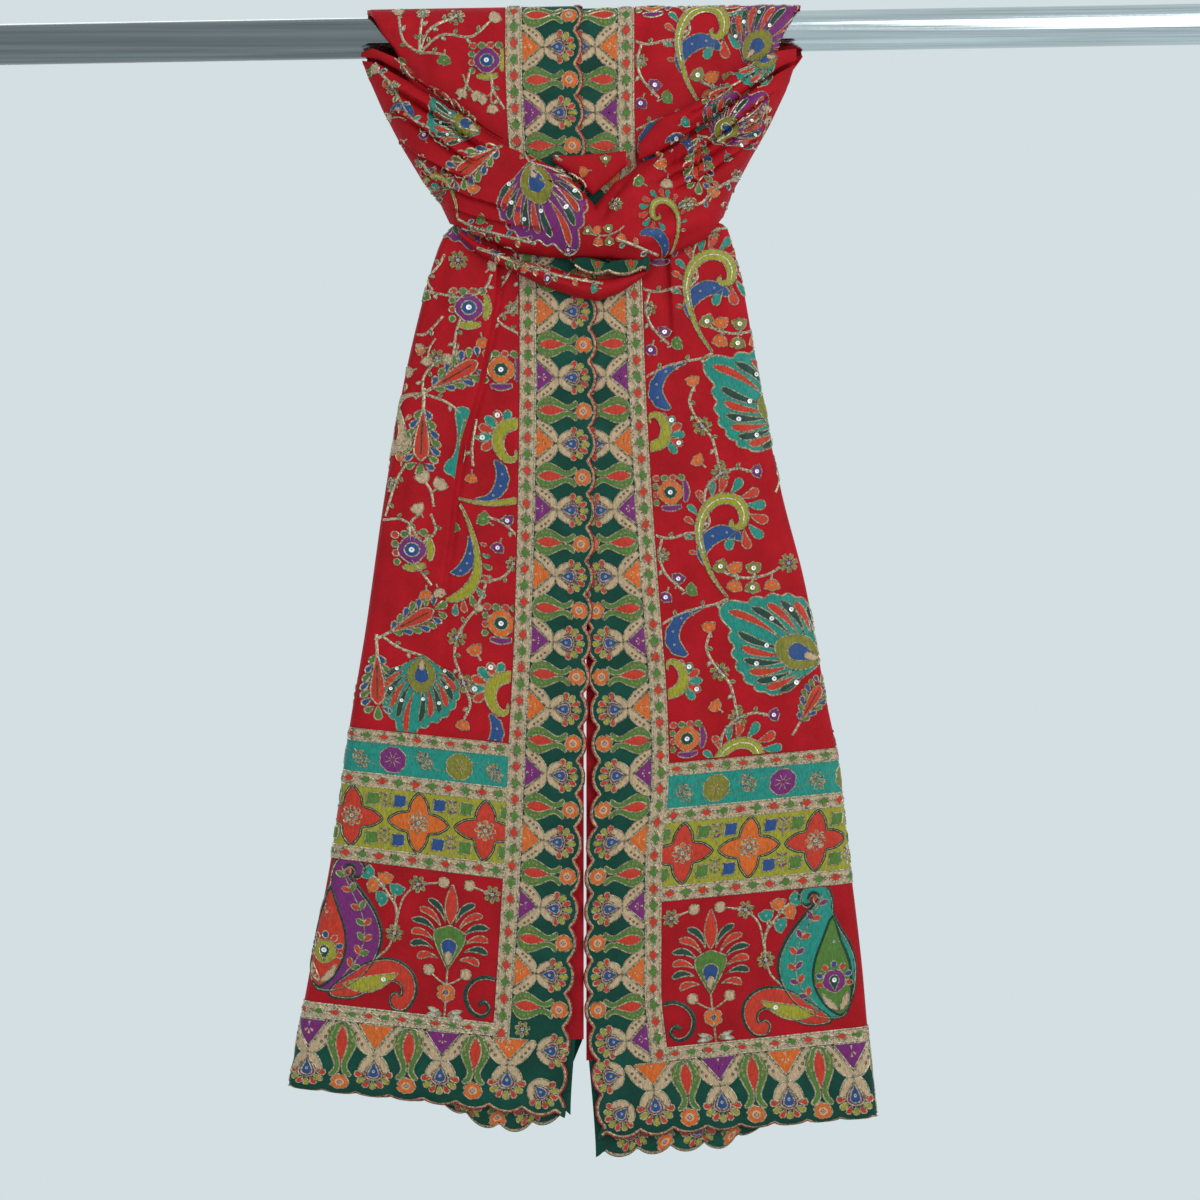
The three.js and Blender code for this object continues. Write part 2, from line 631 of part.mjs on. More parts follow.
addRod();
addEnd(LEFT_END, 'left');
addEnd(RIGHT_END, 'right');
addBackWrap(LEFT_END, 'left', BAND_LEFT_TURN);
addBackWrap(RIGHT_END, 'right', BAND_RIGHT_TURN);
addBand();
addBandEdge();

export default dupatta;
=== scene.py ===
"""A red embroidered dupatta, folded lengthwise and hitched over a level chrome rod.

Sizes are millimetres until a mesh is made: x runs along the rod to the right, z up, the front
of the cloth faces -y, and the origin is the middle of the rod. Flat motifs are drawn as complex
numbers, x to the right and the imaginary part up.
"""
import cmath
import math

import bpy
import numpy as np
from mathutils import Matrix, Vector
from mathutils.bvhtree import BVHTree
from mathutils.geometry import delaunay_2d_cdt


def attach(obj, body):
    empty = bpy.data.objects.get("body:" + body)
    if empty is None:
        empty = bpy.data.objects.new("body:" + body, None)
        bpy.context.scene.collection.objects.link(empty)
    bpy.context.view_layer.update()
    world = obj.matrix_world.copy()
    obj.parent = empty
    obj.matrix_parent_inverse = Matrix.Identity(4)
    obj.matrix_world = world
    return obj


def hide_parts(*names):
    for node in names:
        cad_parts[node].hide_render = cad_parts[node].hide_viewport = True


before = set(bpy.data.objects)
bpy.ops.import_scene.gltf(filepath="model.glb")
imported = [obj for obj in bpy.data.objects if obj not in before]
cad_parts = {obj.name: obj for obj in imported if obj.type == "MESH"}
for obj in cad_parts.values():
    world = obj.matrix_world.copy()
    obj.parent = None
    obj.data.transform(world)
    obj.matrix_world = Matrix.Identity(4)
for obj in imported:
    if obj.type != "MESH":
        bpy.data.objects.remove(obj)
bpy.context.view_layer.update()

MM = 0.001
ROD_SLOPE = 0.0171
LIFT_FADE_DROP = 110
WAIST_DROP = 170  # where the layers folded inside begin, hidden by the band
BORDER = 60  # width of the scalloped side border
HEM = 62  # height of the hem border
PITCH = 26  # of the scallops
SCALLOP_DEPTH = 6
SCALLOP_RADIUS = (PITCH ** 2 / 4 + SCALLOP_DEPTH ** 2) / (2 * SCALLOP_DEPTH)
CLOTH = 0.9  # thickness of the cloth without its embroidery
BACK_LAYER_INSET = 4
INNER_FRONT_GAP, INNER_BACK_GAP, INNER_FOLD_GAP = 4.9, 2.4, 4
PHOTO_SPAN = 936  # width of the cloth's plane that the photograph takes in
PHOTO_MIDDLE = (11.7, -446)  # x and z in the middle of the photograph
CAMERA_DISTANCE = 2600
SENSOR = 36

# Sections of the two ends. drop is measured down from the rod's centre at the inner edge, and is
# negative where the cloth bends round the rod; outer_drop is the same row at the outer fold.
COLUMNS = ("drop", "outer_drop", "x_inner", "x_outer", "y_front", "y_back")
LEFT = {
    "name": "left", "side": -1, "wrap": 22.4, "seam": 565, "hem": 851,
    "rows": (
        (-35.2, -35.2, -2, -172, -22.4, -17.2),
        (0, 0, -2, -159, -22.4, -17.2),
        (13, 13, -2, -149, -23, -17.2),
        (56, 56, -1, -133, -25, -16),
        (95, 95, 1, -116, -26.5, -15),
        (132, 132, 5, -99, -27, -14.5),
        (148, 148, 6, -98, -27, -14.5),
        (162, 162, 7, -111, -27, -14),
        (183, 183, 9, -119, -27.5, -13),
        (212, 211, 9.4, -127, -28, -12),
        (280, 276, 9.4, -142, -29, -11),
        (380, 371, 8, -158, -30, -10),
        (485, 470, 5, -172, -30.5, -10),
        (565, 546, 1, -184.5, -31, -10),
        (660, 637, -3, -197, -31, -10),
        (766, 739, -9.5, -216, -31, -10),
        (851, 826, -15, -232, -31, -10),
    ),
}
RIGHT = {
    "name": "right", "side": 1, "wrap": 20.4, "seam": 585, "hem": 868,
    "rows": (
        (-32, -32, -22, 170, -20.4, -17.2),
        (0, 0, -22, 158, -20.4, -17.2),
        (9, 9, -22, 153.5, -21, -17.2),
        (56, 56, -22, 138, -23, -16),
        (95, 95, -21, 117, -24.5, -15),
        (130, 130, -19, 100, -25, -14.5),
        (144, 144, -18, 99, -25, -14.5),
        (157, 157, -17, 112, -25, -14),
        (176, 174, -17, 117, -25.5, -13),
        (200, 197, -16, 123, -26, -12),
        (285, 279, -13, 137, -27, -11),
        (373, 364, -8, 154.5, -28, -10),
        (443, 432, -3, 172, -28.5, -10),
        (543, 527, 4, 189.5, -29, -10),
        (585, 567, 5, 197.5, -29, -10),
        (660, 640, -0.5, 206, -29, -10),
        (755, 733, -1, 217, -29, -10),
        (807, 784, 4, 221.5, -29, -10),
        (868, 850, 9.4, 228.5, -29, -10),
    ),
}
# Lines along which the cloth of an end steps up onto itself
LEFT_PLEAT = {
    "x": (-68, -81, -97, -106, -111, -113), "drop": (185, 276, 335, 409, 450, 560),
    "lift": 2.6, "fade": 380,
}
RIGHT_TUCK = {"x": (65, 68, 70), "drop": (150, 236, 262), "lift": 2.4, "fade": 212}

# Soft creases in the front of the ends: from and to as x and drop, half width, and height
CREASES = {
    "left": (
        ((-135, -24), (-121, 46), 11, -1.7),
        ((-62, -28), (-78, 62), 15, 1.3),
        ((-28, 10), (-30, 96), 13, -1.1),
        ((-118, 186), (-64, 268), 15, 1.5),
        ((-92, 172), (-36, 236), 12, -1.3),
        ((-138, 300), (-131, 468), 13, 1.3),
        ((-60, 250), (-49, 425), 15, 1.2),
        ((-150, 415), (-171, 640), 17, 1.5),
        ((-92, 560), (-112, 800), 21, 1.5),
        ((-40, 480), (-55, 700), 17, -1.2),
        ((-178, 640), (-201, 820), 15, -1.3),
    ),
    "right": (
        ((60, -25), (47, 72), 13, 1.5),
        ((112, -20), (84, 70), 13, -1.5),
        ((105, 176), (91, 305), 13, -1.4),
        ((50, 158), (61, 330), 11, 1.2),
        ((133, 255), (120, 420), 15, 1.4),
        ((30, 330), (41, 520), 15, 1.1),
        ((148, 400), (166, 625), 17, 1.5),
        ((95, 430), (101, 640), 19, -1.3),
        ((58, 600), (73, 800), 21, 1.5),
        ((176, 640), (191, 835), 19, 1.4),
        ((128, 660), (136, 800), 15, -1.1),
    ),
}

# The band's edges as x and z from left to right, and its turns round the ends from the rod down
BAND_TOP_EDGE = (
    (-174.7, -23.4), (-161.5, -27.3), (-148.2, -36.7), (-128.7, -49.9), (-109.2, -62.4),
    (-91.3, -72.5), (-74.1, -85), (-58.5, -93.6), (-39.8, -101.4), (-17.2, -112.3), (-6.2, -123.2),
    (7.8, -138.8), (23.4, -120.1), (34.3, -113.9), (42.1, -106.1), (57.7, -99.8), (78, -88.1),
    (94.4, -78), (110, -65.5), (126.4, -52.3), (144.3, -39), (164.6, -26.5),
)
BAND_BOTTOM_EDGE = (
    (-106, -151.3), (-89.7, -159), (-74, -165.4), (-52.3, -175.5), (-31.2, -178.6),
    (-10.9, -180.2), (7.8, -180.2), (19.5, -180.2), (42.1, -184.9), (56.2, -180.2),
    (73.3, -173.9), (94.4, -164.6), (108.4, -145.9),
)
BAND_LEFT_TURN = (
    (-174.7, -23.4), (-171, -34), (-159, -61.6), (-143.5, -91.3), (-127, -118.6), (-113, -136.5),
    (-106, -151.3),
)
BAND_RIGHT_TURN = (
    (164.6, -26.5), (157.6, -46.8), (144.3, -74.9), (128.7, -102.2), (115.4, -127.1),
    (108.4, -145.9),
)
LOWER_ROLL_TOP = (
    (-98, -158), (-86, -166), (-70, -172.5), (-50, -181), (-30, -185.5), (-12, -191),
    (5, -195.6), (20, -195.6), (35, -192.3), (48, -188),
)
LOWER_ROLL_BOTTOM = (
    (-97, -163), (-80.3, -178.6), (-62.4, -186.4), (-35.9, -199.7), (-19.5, -205.9),
    (-4.7, -210.6), (10.1, -212.9), (27.3, -206.7), (42.9, -196), (50, -191.5),
)
LEFT_FOLD_TOP = (
    (-175.5, -17.2), (-166, -14.8), (-146.6, -23.4), (-129.5, -39.8), (-106, -53.8),
    (-91.3, -65.5), (-78, -77.2), (-66.3, -84),
)
LEFT_FOLD_BOTTOM = (
    (-175.5, -20.5), (-161, -24), (-147, -33), (-127.5, -46), (-108, -58.8), (-91.3, -69),
    (-76, -80), (-64, -87),
)
RIGHT_FOLD_TOP = (
    (42, -90.5), (57.7, -71), (73.3, -64.7), (94.4, -53.8), (103.7, -46), (113, -36.7),
    (127, -30.4), (150.5, -17.2), (165.5, -14),
)
RIGHT_FOLD_BOTTOM = (
    (42, -103.2), (57.7, -97), (76.5, -85.7), (92.8, -75.6), (108.4, -63.2), (124.5, -50),
    (142.5, -36.3), (155, -28.2), (165.5, -22.9),
)
INNER_FOLD_TOP = ((-25, -99), (-12, -100), (4, -98.5), (20, -97), (32, -96))
INNER_FOLD_BOTTOM = ((-24, -105), (-10, -115), (6, -130.5), (21, -117.5), (32, -107.5))
EDGE_STRIP = {"x_start": -8, "x_end": 50, "top": -183.5, "drop": 7, "y_front": -38.8}
TURN_Y, BAND_BACK_Y, LOWER_ROLL_BACK_Y = -18, -31.5, -30.6
MAIN_BULGE, LOWER_BULGE, UPPER_BULGE, TURN_SHARPNESS = 24, 14, 7, 18
BAND_CREASE_STRENGTH = 1.3
BAND_FACING = -1  # the band's grids run across and then down, so their cloth lies behind that face

# Creases of the band as lines of x and z. A ply has its edge on the line and lies to its left,
# and a soft one is a round ridge, or a trough where its height is negative.
BAND_CREASES = (
    ("ply", ((-166, -38), (-142, -51), (-114, -70), (-86, -91), (-60, -103)), 17, 4.6),
    ("ply", ((-159, -59), (-139, -71), (-114, -88), (-93, -104), (-70, -113)), 15, 3.8),
    ("ply", ((-150, -82), (-129, -99), (-106, -113), (-80, -125)), 14, 3.4),
    ("ply", ((-136, -106), (-114, -121), (-90, -133), (-62, -142), (-34, -147)), 12, 2.6),
    ("ply", ((-118, -134), (-88, -147), (-50, -157), (-10, -161)), 10, 2.0),
    ("soft", ((-62, -102), (-36, -121), (-8, -146)), 9, 2.2),
    ("soft", ((-44, -106), (-22, -124), (-3, -150)), 6, -2.2),
    ("soft", ((-22, -112), (-8, -130), (4, -154)), 6, 1.6),
    ("soft", ((34, -116), (20, -134), (9, -158)), 7, -2.3),
    ("soft", ((62, -104), (40, -124), (20, -150)), 10, 2.4),
    ("ply", ((158, -42), (134, -60), (106, -84), (78, -103), (52, -112)), 15, -4.2),
    ("ply", ((152, -58), (128, -78), (100, -99), (70, -117), (44, -126)), 14, -3.4),
    ("ply", ((142, -78), (118, -98), (92, -117), (60, -133)), 13, -3.0),
    ("soft", ((128, -96), (104, -116), (76, -134), (40, -147)), 10, 1.8),
    ("soft", ((118, -118), (96, -134), (64, -152), (24, -163)), 9, -1.6),
    ("soft", ((104, -142), (80, -156), (48, -167), (12, -170)), 8, 1.4),
    ("soft", ((-96, -148), (-64, -166), (-28, -172)), 8, 1.3),
)
LOWER_ROLL_CREASES = (
    ("soft", ((-84, -168), (-50, -184), (-16, -196), (16, -203)), 6, -1.5),
    ("soft", ((-66, -181), (-34, -193), (0, -204)), 5, 1.2),
)
UPPER_FOLD_CREASES = (
    ("ply", ((52, -84), (80, -69), (104, -53), (130, -37), (156, -21)), 9, 1.5),
    ("soft", ((60, -92), (90, -74), (118, -55)), 6, -1.2),
    ("soft", ((-160, -20), (-130, -43), (-96, -66)), 5, -1.1),
)


# Small helpers

def mix(a, b, part):
    return a + (b - a) * part


def clamp01(value):
    return np.clip(value, 0, 1)


def smooth(value):
    part = clamp01(value)
    return part * part * (3 - 2 * part)


def table_value(keys, values, key):
    """Smooth values between table rows, by a cubic through the rows with limited slopes."""
    keys = np.asarray(keys, float)
    values = np.asarray(values, float)
    key = np.clip(np.asarray(key, float), keys[0], keys[-1])
    step = np.diff(keys)
    rise = np.diff(values) / step
    slope = np.zeros_like(values)
    before, after = rise[:-1], rise[1:]
    agree = before * after > 0
    slope[1:-1][agree] = 2 * (before * after)[agree] / (before + after)[agree]
    at = np.clip(np.searchsorted(keys, key, side="right") - 1, 0, len(keys) - 2)
    part = (key - keys[at]) / step[at]
    square, cube = part ** 2, part ** 3
    return ((2 * cube - 3 * square + 1) * values[at] + (cube - 2 * square + part) * step[at] * slope[at]
            + (3 * square - 2 * cube) * values[at + 1] + (cube - square) * step[at] * slope[at + 1])


def along_line(points, share):
    """Points at shares of the length of a line of x and z pairs."""
    points = np.asarray(points, float)
    lengths = np.concatenate([[0], np.cumsum(np.hypot(*np.diff(points, axis=0).T))])
    target = clamp01(share) * lengths[-1]
    return np.interp(target, lengths, points[:, 0]), np.interp(target, lengths, points[:, 1])


def scallop_inset(distance):
    """How far a scalloped edge draws back from its tips at a distance along the edge."""
    cycles = np.asarray(distance, float) / PITCH
    across = (cycles - np.floor(cycles) - 0.5) * PITCH
    return SCALLOP_RADIUS - np.sqrt(SCALLOP_RADIUS ** 2 - across ** 2)


def stations(start, stop, spacing):
    return np.linspace(start, stop, max(2, round(abs(stop - start) / spacing) + 1))


def srgb(red, green, blue, strength=1.0):
    """A linear colour from sRGB bytes, made darker by a strength below one."""
    channels = np.array([red, green, blue]) / 255
    linear = np.where(channels <= 0.04045, channels / 12.92, ((channels + 0.055) / 1.055) ** 2.4)
    return tuple(linear * strength)


# Creases

def line_distances(x, z, line):
    """Nearest distance to a line, the share of the line there, and the distance to its left."""
    best = np.full(x.shape, np.inf)
    share = np.zeros(x.shape)
    left = np.zeros(x.shape)
    line = np.asarray(line, float)
    count = len(line) - 1
    for index in range(count):
        (ax, az), (bx, bz) = line[index], line[index + 1]
        dx, dz = bx - ax, bz - az
        length = math.hypot(dx, dz)
        part = clamp01(((x - ax) * dx + (z - az) * dz) / length ** 2)
        distance = np.hypot(x - ax - part * dx, z - az - part * dz)
        nearer = distance < best
        best = np.where(nearer, distance, best)
        share = np.where(nearer, (index + part) / count, share)
        left = np.where(nearer, ((z - az) * dx - (x - ax) * dz) / length, left)
    return best, share, left


def crease_height(x, z, creases, strength=1.0):
    height = np.zeros(x.shape)
    for kind, line, width, depth in creases:
        distance, share, left = line_distances(x, z, line)
        taper = smooth(share / 0.3) * smooth((1 - share) / 0.3)
        if kind == "soft":
            height += depth * taper * smooth(1 - distance / width)
            continue
        above = left * math.copysign(1, depth)
        ply = smooth((above + 0.6) / 1.8) * clamp01(1 - distance / width) ** 1.5
        groove = np.where(above < 0, np.exp(-(distance / (0.22 * width)) ** 2), 0)
        height += abs(depth) * taper * (ply - 0.7 * groove)
    return height * strength


# The hanging ends

def section(end, drop):
    rows = np.array(end["rows"], float)
    values = {name: table_value(rows[:, 0], rows[:, index], drop) for index, name in enumerate(COLUMNS)}
    values["drop"] = np.asarray(drop, float)
    return values


def pleat_line(end, drop):
    pleat = LEFT_PLEAT if end["side"] < 0 else RIGHT_TUCK
    return table_value(pleat["drop"], pleat["x"], drop)


def pleat_lift(end, x, drop):
    """Height of the cloth beside its pleat: a rounded lip that fades outward, with a groove."""
    pleat = LEFT_PLEAT if end["side"] < 0 else RIGHT_TUCK
    beyond = end["side"] * (x - pleat_line(end, drop))
    last = pleat["drop"][-1]
    fade = smooth((last - drop) / (last - pleat["fade"])) * smooth((drop - pleat["drop"][0] + 30) / 30)
    lip = smooth((beyond + 1) / 2.2) * (1 + 0.3 * np.exp(-(beyond / 7) ** 2))
    groove = 0.6 * np.exp(-((beyond + 3) / 2.4) ** 2)
    return pleat["lift"] * fade * (lip - groove)


def flute_depth(x, drop, phase):
    growth = smooth((drop - 260) / 500)
    return 1.1 * growth * np.sin(2 * math.pi * x / 132 + phase) * smooth((np.abs(x) - 18) / 30)


def soft_creases(end, x, drop):
    rows = [("soft", (start, stop), width, height) for start, stop, width, height in CREASES[end["name"]]]
    return crease_height(x, drop, rows)


def back_fold_x(end, drop):
    own = section(end, drop)["x_inner"] + end["side"] * BACK_LAYER_INSET
    if end["side"] > 0:
        return own
    return np.minimum(own, section(RIGHT, drop)["x_inner"] - BACK_LAYER_INSET)


def fold_sizes(end, drop, inside):
    """Places and lengths of the stretches of a folded row: front, bend and back."""
    row = section(end, drop)
    side = end["side"]
    front_y = row["y_front"] + (INNER_FRONT_GAP if inside else 0)
    back_y = row["y_back"] - (INNER_BACK_GAP if inside else 0)
    radius = (back_y - front_y) / 2
    start = back_fold_x(end, drop) + side * 2.5 if inside else row["x_inner"]
    turn = row["x_outer"] - side * (radius + (INNER_FOLD_GAP if inside else 0))
    back_end = back_fold_x(end, drop) + (side if inside else 0)
    return {
        "row": row, "front_y": front_y, "radius": radius, "turn": turn,
        "front": side * (turn - start), "bend": math.pi * radius, "back": side * (turn - back_end),
    }


def place_on_end(end, row, x, y):
    reach = clamp01((x - row["x_inner"]) / (row["x_outer"] - row["x_inner"]))
    drop = mix(row["drop"], row["outer_drop"], reach)
    lift = ROD_SLOPE * x * smooth((LIFT_FADE_DROP - drop) / LIFT_FADE_DROP)
    angle = np.minimum(drop, 0) / end["wrap"]
    return np.stack([x, y * np.cos(angle), y * np.sin(angle) + lift - np.maximum(drop, 0)], axis=-1)


def end_point(end, s, t, inside=False):
    """Points on an end, s round its fold from the inner edge and t down from the rod."""
    s, t = np.broadcast_arrays(np.asarray(s, float), np.asarray(t, float))
    size = fold_sizes(end, t, inside)
    side, radius = end["side"], size["radius"]
    angle = np.clip((s - size["front"]) / radius, 0, math.pi)
    behind = np.maximum(s - size["front"] - size["bend"], 0)
    before = np.maximum(size["front"] - s, 0)
    x = size["turn"] + side * (radius * np.sin(angle) - behind - before)
    y = size["front_y"] + radius * (1 - np.cos(angle))
    if not inside:
        front = pleat_lift(end, x, t) + flute_depth(x, t, side) + soft_creases(end, x, t)
        back = flute_depth(x, t, side + 1.4) - 0.8 * soft_creases(end, x, t + 35)
        under_back = smooth((s - size["front"] - size["bend"]) / 14)
        y = y - front * smooth(before / 14) + np.maximum(back, -1.2) * under_back
    return place_on_end(end, size["row"], x, y)


def fold_stations(end, drop, start, counts, inside=False):
    """s of the points of a row from a start, with a count for the front, the bend and the back."""
    size = fold_sizes(end, drop, inside)
    front, bend, back = (np.linspace(0, 1, count) for count in counts)
    return np.concatenate([
        mix(start, size["front"], front),
        size["front"] + size["bend"] * bend[1:],
        size["front"] + size["bend"] + size["back"] * back[1:],
    ])


# Cloth

def new_object(name, points, faces, material, slot, uv=None, colours=None):
    """A smooth mesh from points in millimetres, riding on the part's one body."""
    mesh = bpy.data.meshes.new(name)
    mesh.vertices.add(len(points))
    mesh.vertices.foreach_set("co", np.asarray(points, np.float32).ravel() * MM)
    faces = np.asarray(faces)
    corners = faces.shape[1]
    mesh.loops.add(faces.size)
    mesh.loops.foreach_set("vertex_index", faces.ravel().astype(np.int32))
    mesh.polygons.add(len(faces))
    mesh.polygons.foreach_set("loop_start", np.arange(0, faces.size, corners, dtype=np.int32))
    mesh.polygons.foreach_set("use_smooth", np.ones(len(faces), bool))
    if uv is not None:
        layer = mesh.uv_layers.new(name="cloth")
        layer.data.foreach_set("uv", (np.asarray(uv)[faces.ravel()] * MM).ravel())
    if colours is not None:
        layer = mesh.color_attributes.new("thread", "FLOAT_COLOR", "POINT")
        layer.data.foreach_set("color", np.column_stack([colours, np.ones(len(colours))]).ravel())
    mesh.update(calc_edges=True)
    mesh.validate()
    mesh.set_sharp_from_angle(angle=math.radians(55))
    mesh.materials.append(material)
    piece = bpy.data.objects.new(name, mesh)
    bpy.context.scene.collection.objects.link(piece)
    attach(piece, "root")
    return piece


def grid_normals(points, facing):
    normals = np.cross(np.gradient(points, axis=0), np.gradient(points, axis=1)) * facing
    return normals / np.maximum(np.linalg.norm(normals, axis=2, keepdims=True), 1e-9)


def grid_faces(rows, columns, facing):
    index = np.arange(rows * columns).reshape(rows, columns)
    corners = [index[:-1, :-1], index[1:, :-1], index[1:, 1:], index[:-1, 1:]]
    quads = np.stack(corners, axis=-1).reshape(-1, 4)
    return quads if facing > 0 else quads[:, ::-1]


def shell_faces(rows, columns, facing):
    """Faces of a thin closed shell: its outer face, its inner face, and the four edges."""
    outer = grid_faces(rows, columns, facing)
    inner = outer[:, ::-1] + rows * columns
    index = np.arange(rows * columns).reshape(rows, columns)
    rim = np.concatenate([index[0, :-1], index[:-1, -1], index[-1, :0:-1], index[:0:-1, 0]])
    after = np.roll(rim, -1)
    edge = np.stack([rim, after, after + rows * columns, rim + rows * columns], axis=-1)
    return np.concatenate([outer, inner, edge if facing > 0 else edge[:, ::-1]])


def sheet(name, nodes, points, cut, facing, material, slot):
    """A thin shell of cloth whose face is a grid of points, standing for CAD nodes."""
    rows, columns = points.shape[:2]
    inner = points - grid_normals(points, facing) * CLOTH
    both = np.concatenate([points.reshape(-1, 3), inner.reshape(-1, 3)])
    uv = np.concatenate([cut.reshape(-1, 2)] * 2)
    piece = new_object(name, both, shell_faces(rows, columns, facing), material, slot, uv)
    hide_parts(*nodes)


def end_sheet(end, label, nodes, s, t, material, slot, inside=False, shift=0):
    """A sheet of an end from its flat places, moved up by a shift."""
    points = end_point(end, s, t, inside)
    points[..., 2] += shift
    cut = np.stack(np.broadcast_arrays(s, t), axis=-1)
    names = [f"{end['name']}_{node}" for node in nodes]
    sheet(f"{end['name']}_{label}_cloth", names, points, cut, end["side"], material, slot)


def folded_sheet(end, label, nodes, drops, start, counts, material, slot, inside=False):
    """A sheet round an end's fold, whose rows begin at what a function of the end and drop gives."""
    s = np.stack([fold_stations(end, drop, start(end, drop), counts, inside) for drop in drops])
    end_sheet(end, label, nodes, s, drops[:, None], material, slot, inside)


def hem_inset(s):
    return scallop_inset(s - BORDER)


def add_hem(end, material):
    top = end["hem"] - HEM
    shares = np.linspace(0, 1, 16)[:, None]
    s = fold_stations(end, end["hem"], BORDER, (64, 12, 78))[None, :]
    drops = mix(top, end["hem"], shares) - hem_inset(s) * smooth((shares - 0.6) / 0.4)
    end_sheet(end, "hem_border", ["hem_border"], s, drops, material, "green_border_cloth")


def add_side_border(end, label, start, stop, material):
    drops = stations(start, stop, 2.2)[:, None]
    shares = np.linspace(0, 1, 20)[None, :]
    s = scallop_inset(drops) * smooth((0.5 - shares) / 0.5) + shares * BORDER
    end_sheet(end, label, [label], s, drops, material, "green_border_cloth")


def add_corner(end, material):
    top = end["hem"] - HEM
    down = np.linspace(0, 1, 30)[:, None]
    over = np.linspace(0, 1, 28)[None, :]
    s = 0.8 * scallop_inset(mix(top, end["hem"], down)) * smooth((0.5 - over) / 0.5) + over * BORDER
    drops = mix(top, end["hem"], down) - 0.8 * hem_inset(s) * smooth((down - 0.6) / 0.4)
    end_sheet(end, "corner", ["corner"], s, drops, material, "green_border_cloth")


def inner_hem_inset(x):
    return scallop_inset(np.abs(x) + 11)


def inner_hem_droop(end, x):
    if end["side"] < 0:
        return 16 * np.maximum(0, 1 - ((x + 65) / 46) ** 2)
    return 15 * (1 - smooth((x - 105) / 40))


def inner_hem_shift(end, x, share):
    """How far the inner hem border moves up, at shares of its height."""
    return inner_hem_inset(x) * smooth((share - 0.6) / 0.4) - inner_hem_droop(end, x) * smooth(share)


def beside_border(end, drop):
    return BORDER


def inner_start(end, drop):
    """Where an inner layer starts, so that it closes the view between the two ends."""
    start_x = back_fold_x(end, drop) + end["side"] * 2.5
    return np.minimum(0, 1 - end["side"] * start_x)


def add_inner_layers(end, field, panel, border):
    top = end["hem"] - HEM
    counts = (30, 10, 26)
    folded_sheet(end, "inner_field", ["inner_field"], stations(WAIST_DROP, end["seam"], 6), inner_start,
                 counts, field, "red_field_cloth", True)
    folded_sheet(end, "inner_panel", ["inner_panel"], stations(end["seam"], top, 6), inner_start,
                 counts, panel, "red_panel_cloth", True)
    shares = np.linspace(0, 1, 16)[:, None]
    s = fold_stations(end, end["hem"], 0.5 * inner_start(end, end["hem"]), (120, 12, 80), True)[None, :]
    drops = mix(top, end["hem"], shares)
    x = end_point(end, s, drops, True)[..., 0]
    end_sheet(end, "inner_hem_border", ["inner_hem_border"], s, drops, border, "green_border_cloth",
              True, inner_hem_shift(end, x, shares))


def add_end(end, field, panel, border):
    top = end["rows"][0][0]
    folded_sheet(end, "field", ["field_upper", "field_lower"], stations(top, end["seam"], 3.6),
                 beside_border, (60, 12, 36), field, "red_field_cloth")
    folded_sheet(end, "end_panel", ["end_panel"], stations(end["seam"], end["hem"] - HEM, 4),
                 beside_border, (64, 12, 50), panel, "red_panel_cloth")
    add_hem(end, border)
    add_side_border(end, "side_border_upper", top, end["seam"], border)
    add_side_border(end, "side_border_lower", end["seam"], end["hem"] - HEM, border)
    add_corner(end, border)
    add_inner_layers(end, field, panel, border)


# The stretches behind the rod and the band

def back_wrap_points(end, turn_line):
    """Over the rod, down its back and outwards to the band's turn, gathered in uneven folds."""
    row = end["rows"][0]
    side, radius = end["side"], end["wrap"]
    start_angle = 0.77 / radius
    share = np.linspace(0, 1, 90)[None, :]
    leave = math.pi * (1 - 0.28 * share)

    def on_rod(angle):
        gather = 8 * smooth(angle / math.pi)
        inner = row[2] + side * (gather + (0 if side < 0 else 14))
        x = mix(row[3] + side * gather * 0.2, inner, share)
        return np.stack([x, radius * np.sin(angle), radius * np.cos(angle) + ROD_SLOPE * x], axis=-1)

    over = on_rod(mix(start_angle, leave, np.linspace(0, 1, 26)[:, None]))
    leaving = on_rod(leave)
    turn_x, turn_z = along_line(turn_line, share)
    to = np.stack([turn_x, np.full_like(turn_x, TURN_Y + 1), turn_z], axis=-1)
    control = np.stack([
        mix(turn_x, leaving[..., 0], 0.04), mix(-12, 4, smooth(share * 2)),
        mix(turn_z, leaving[..., 2], 0.05) - 3 * (1 - share),
    ], axis=-1)
    part = np.linspace(0, 1, 50)[1:, None, None]
    fan = leaving * (1 - part) ** 2 + 2 * control * part * (1 - part) + to * part ** 2
    points = np.concatenate([over, fan])
    row_share = np.linspace(0, 1, len(points))[:, None]
    folds = (np.sin(2 * math.pi * (6.3 * share + 0.5 * row_share))
             + 0.5 * np.sin(2 * math.pi * 11.7 * share + 1))
    fade = (smooth((row_share - 0.1) / 0.25) * smooth((1 - row_share) / 0.15)
            * smooth(share / 0.05) * smooth((1 - share) / 0.05))
    return points + grid_normals(points, side) * (0.8 * folds * fade)[..., None]


def even_cut(points, width, length):
    """Flat places spread evenly over a grid of points, for the weave."""
    rows, columns = points.shape[:2]
    steps = np.linspace(0, width, rows), np.linspace(0, length, columns)
    return np.stack(np.meshgrid(*steps, indexing="ij"), axis=-1)


def add_back_wraps(material):
    """The two stretches behind the rod, as grids with the side that each faces."""
    wraps = []
    for end, line in ((LEFT, BAND_LEFT_TURN), (RIGHT, BAND_RIGHT_TURN)):
        points = back_wrap_points(end, line)
        node = f"{end['name']}_back_wrap"
        sheet(f"{node}_cloth", [node], points, even_cut(points, 200, 170), end["side"], material,
              "red_field_cloth")
        wraps.append((points, end["side"]))
    return wraps


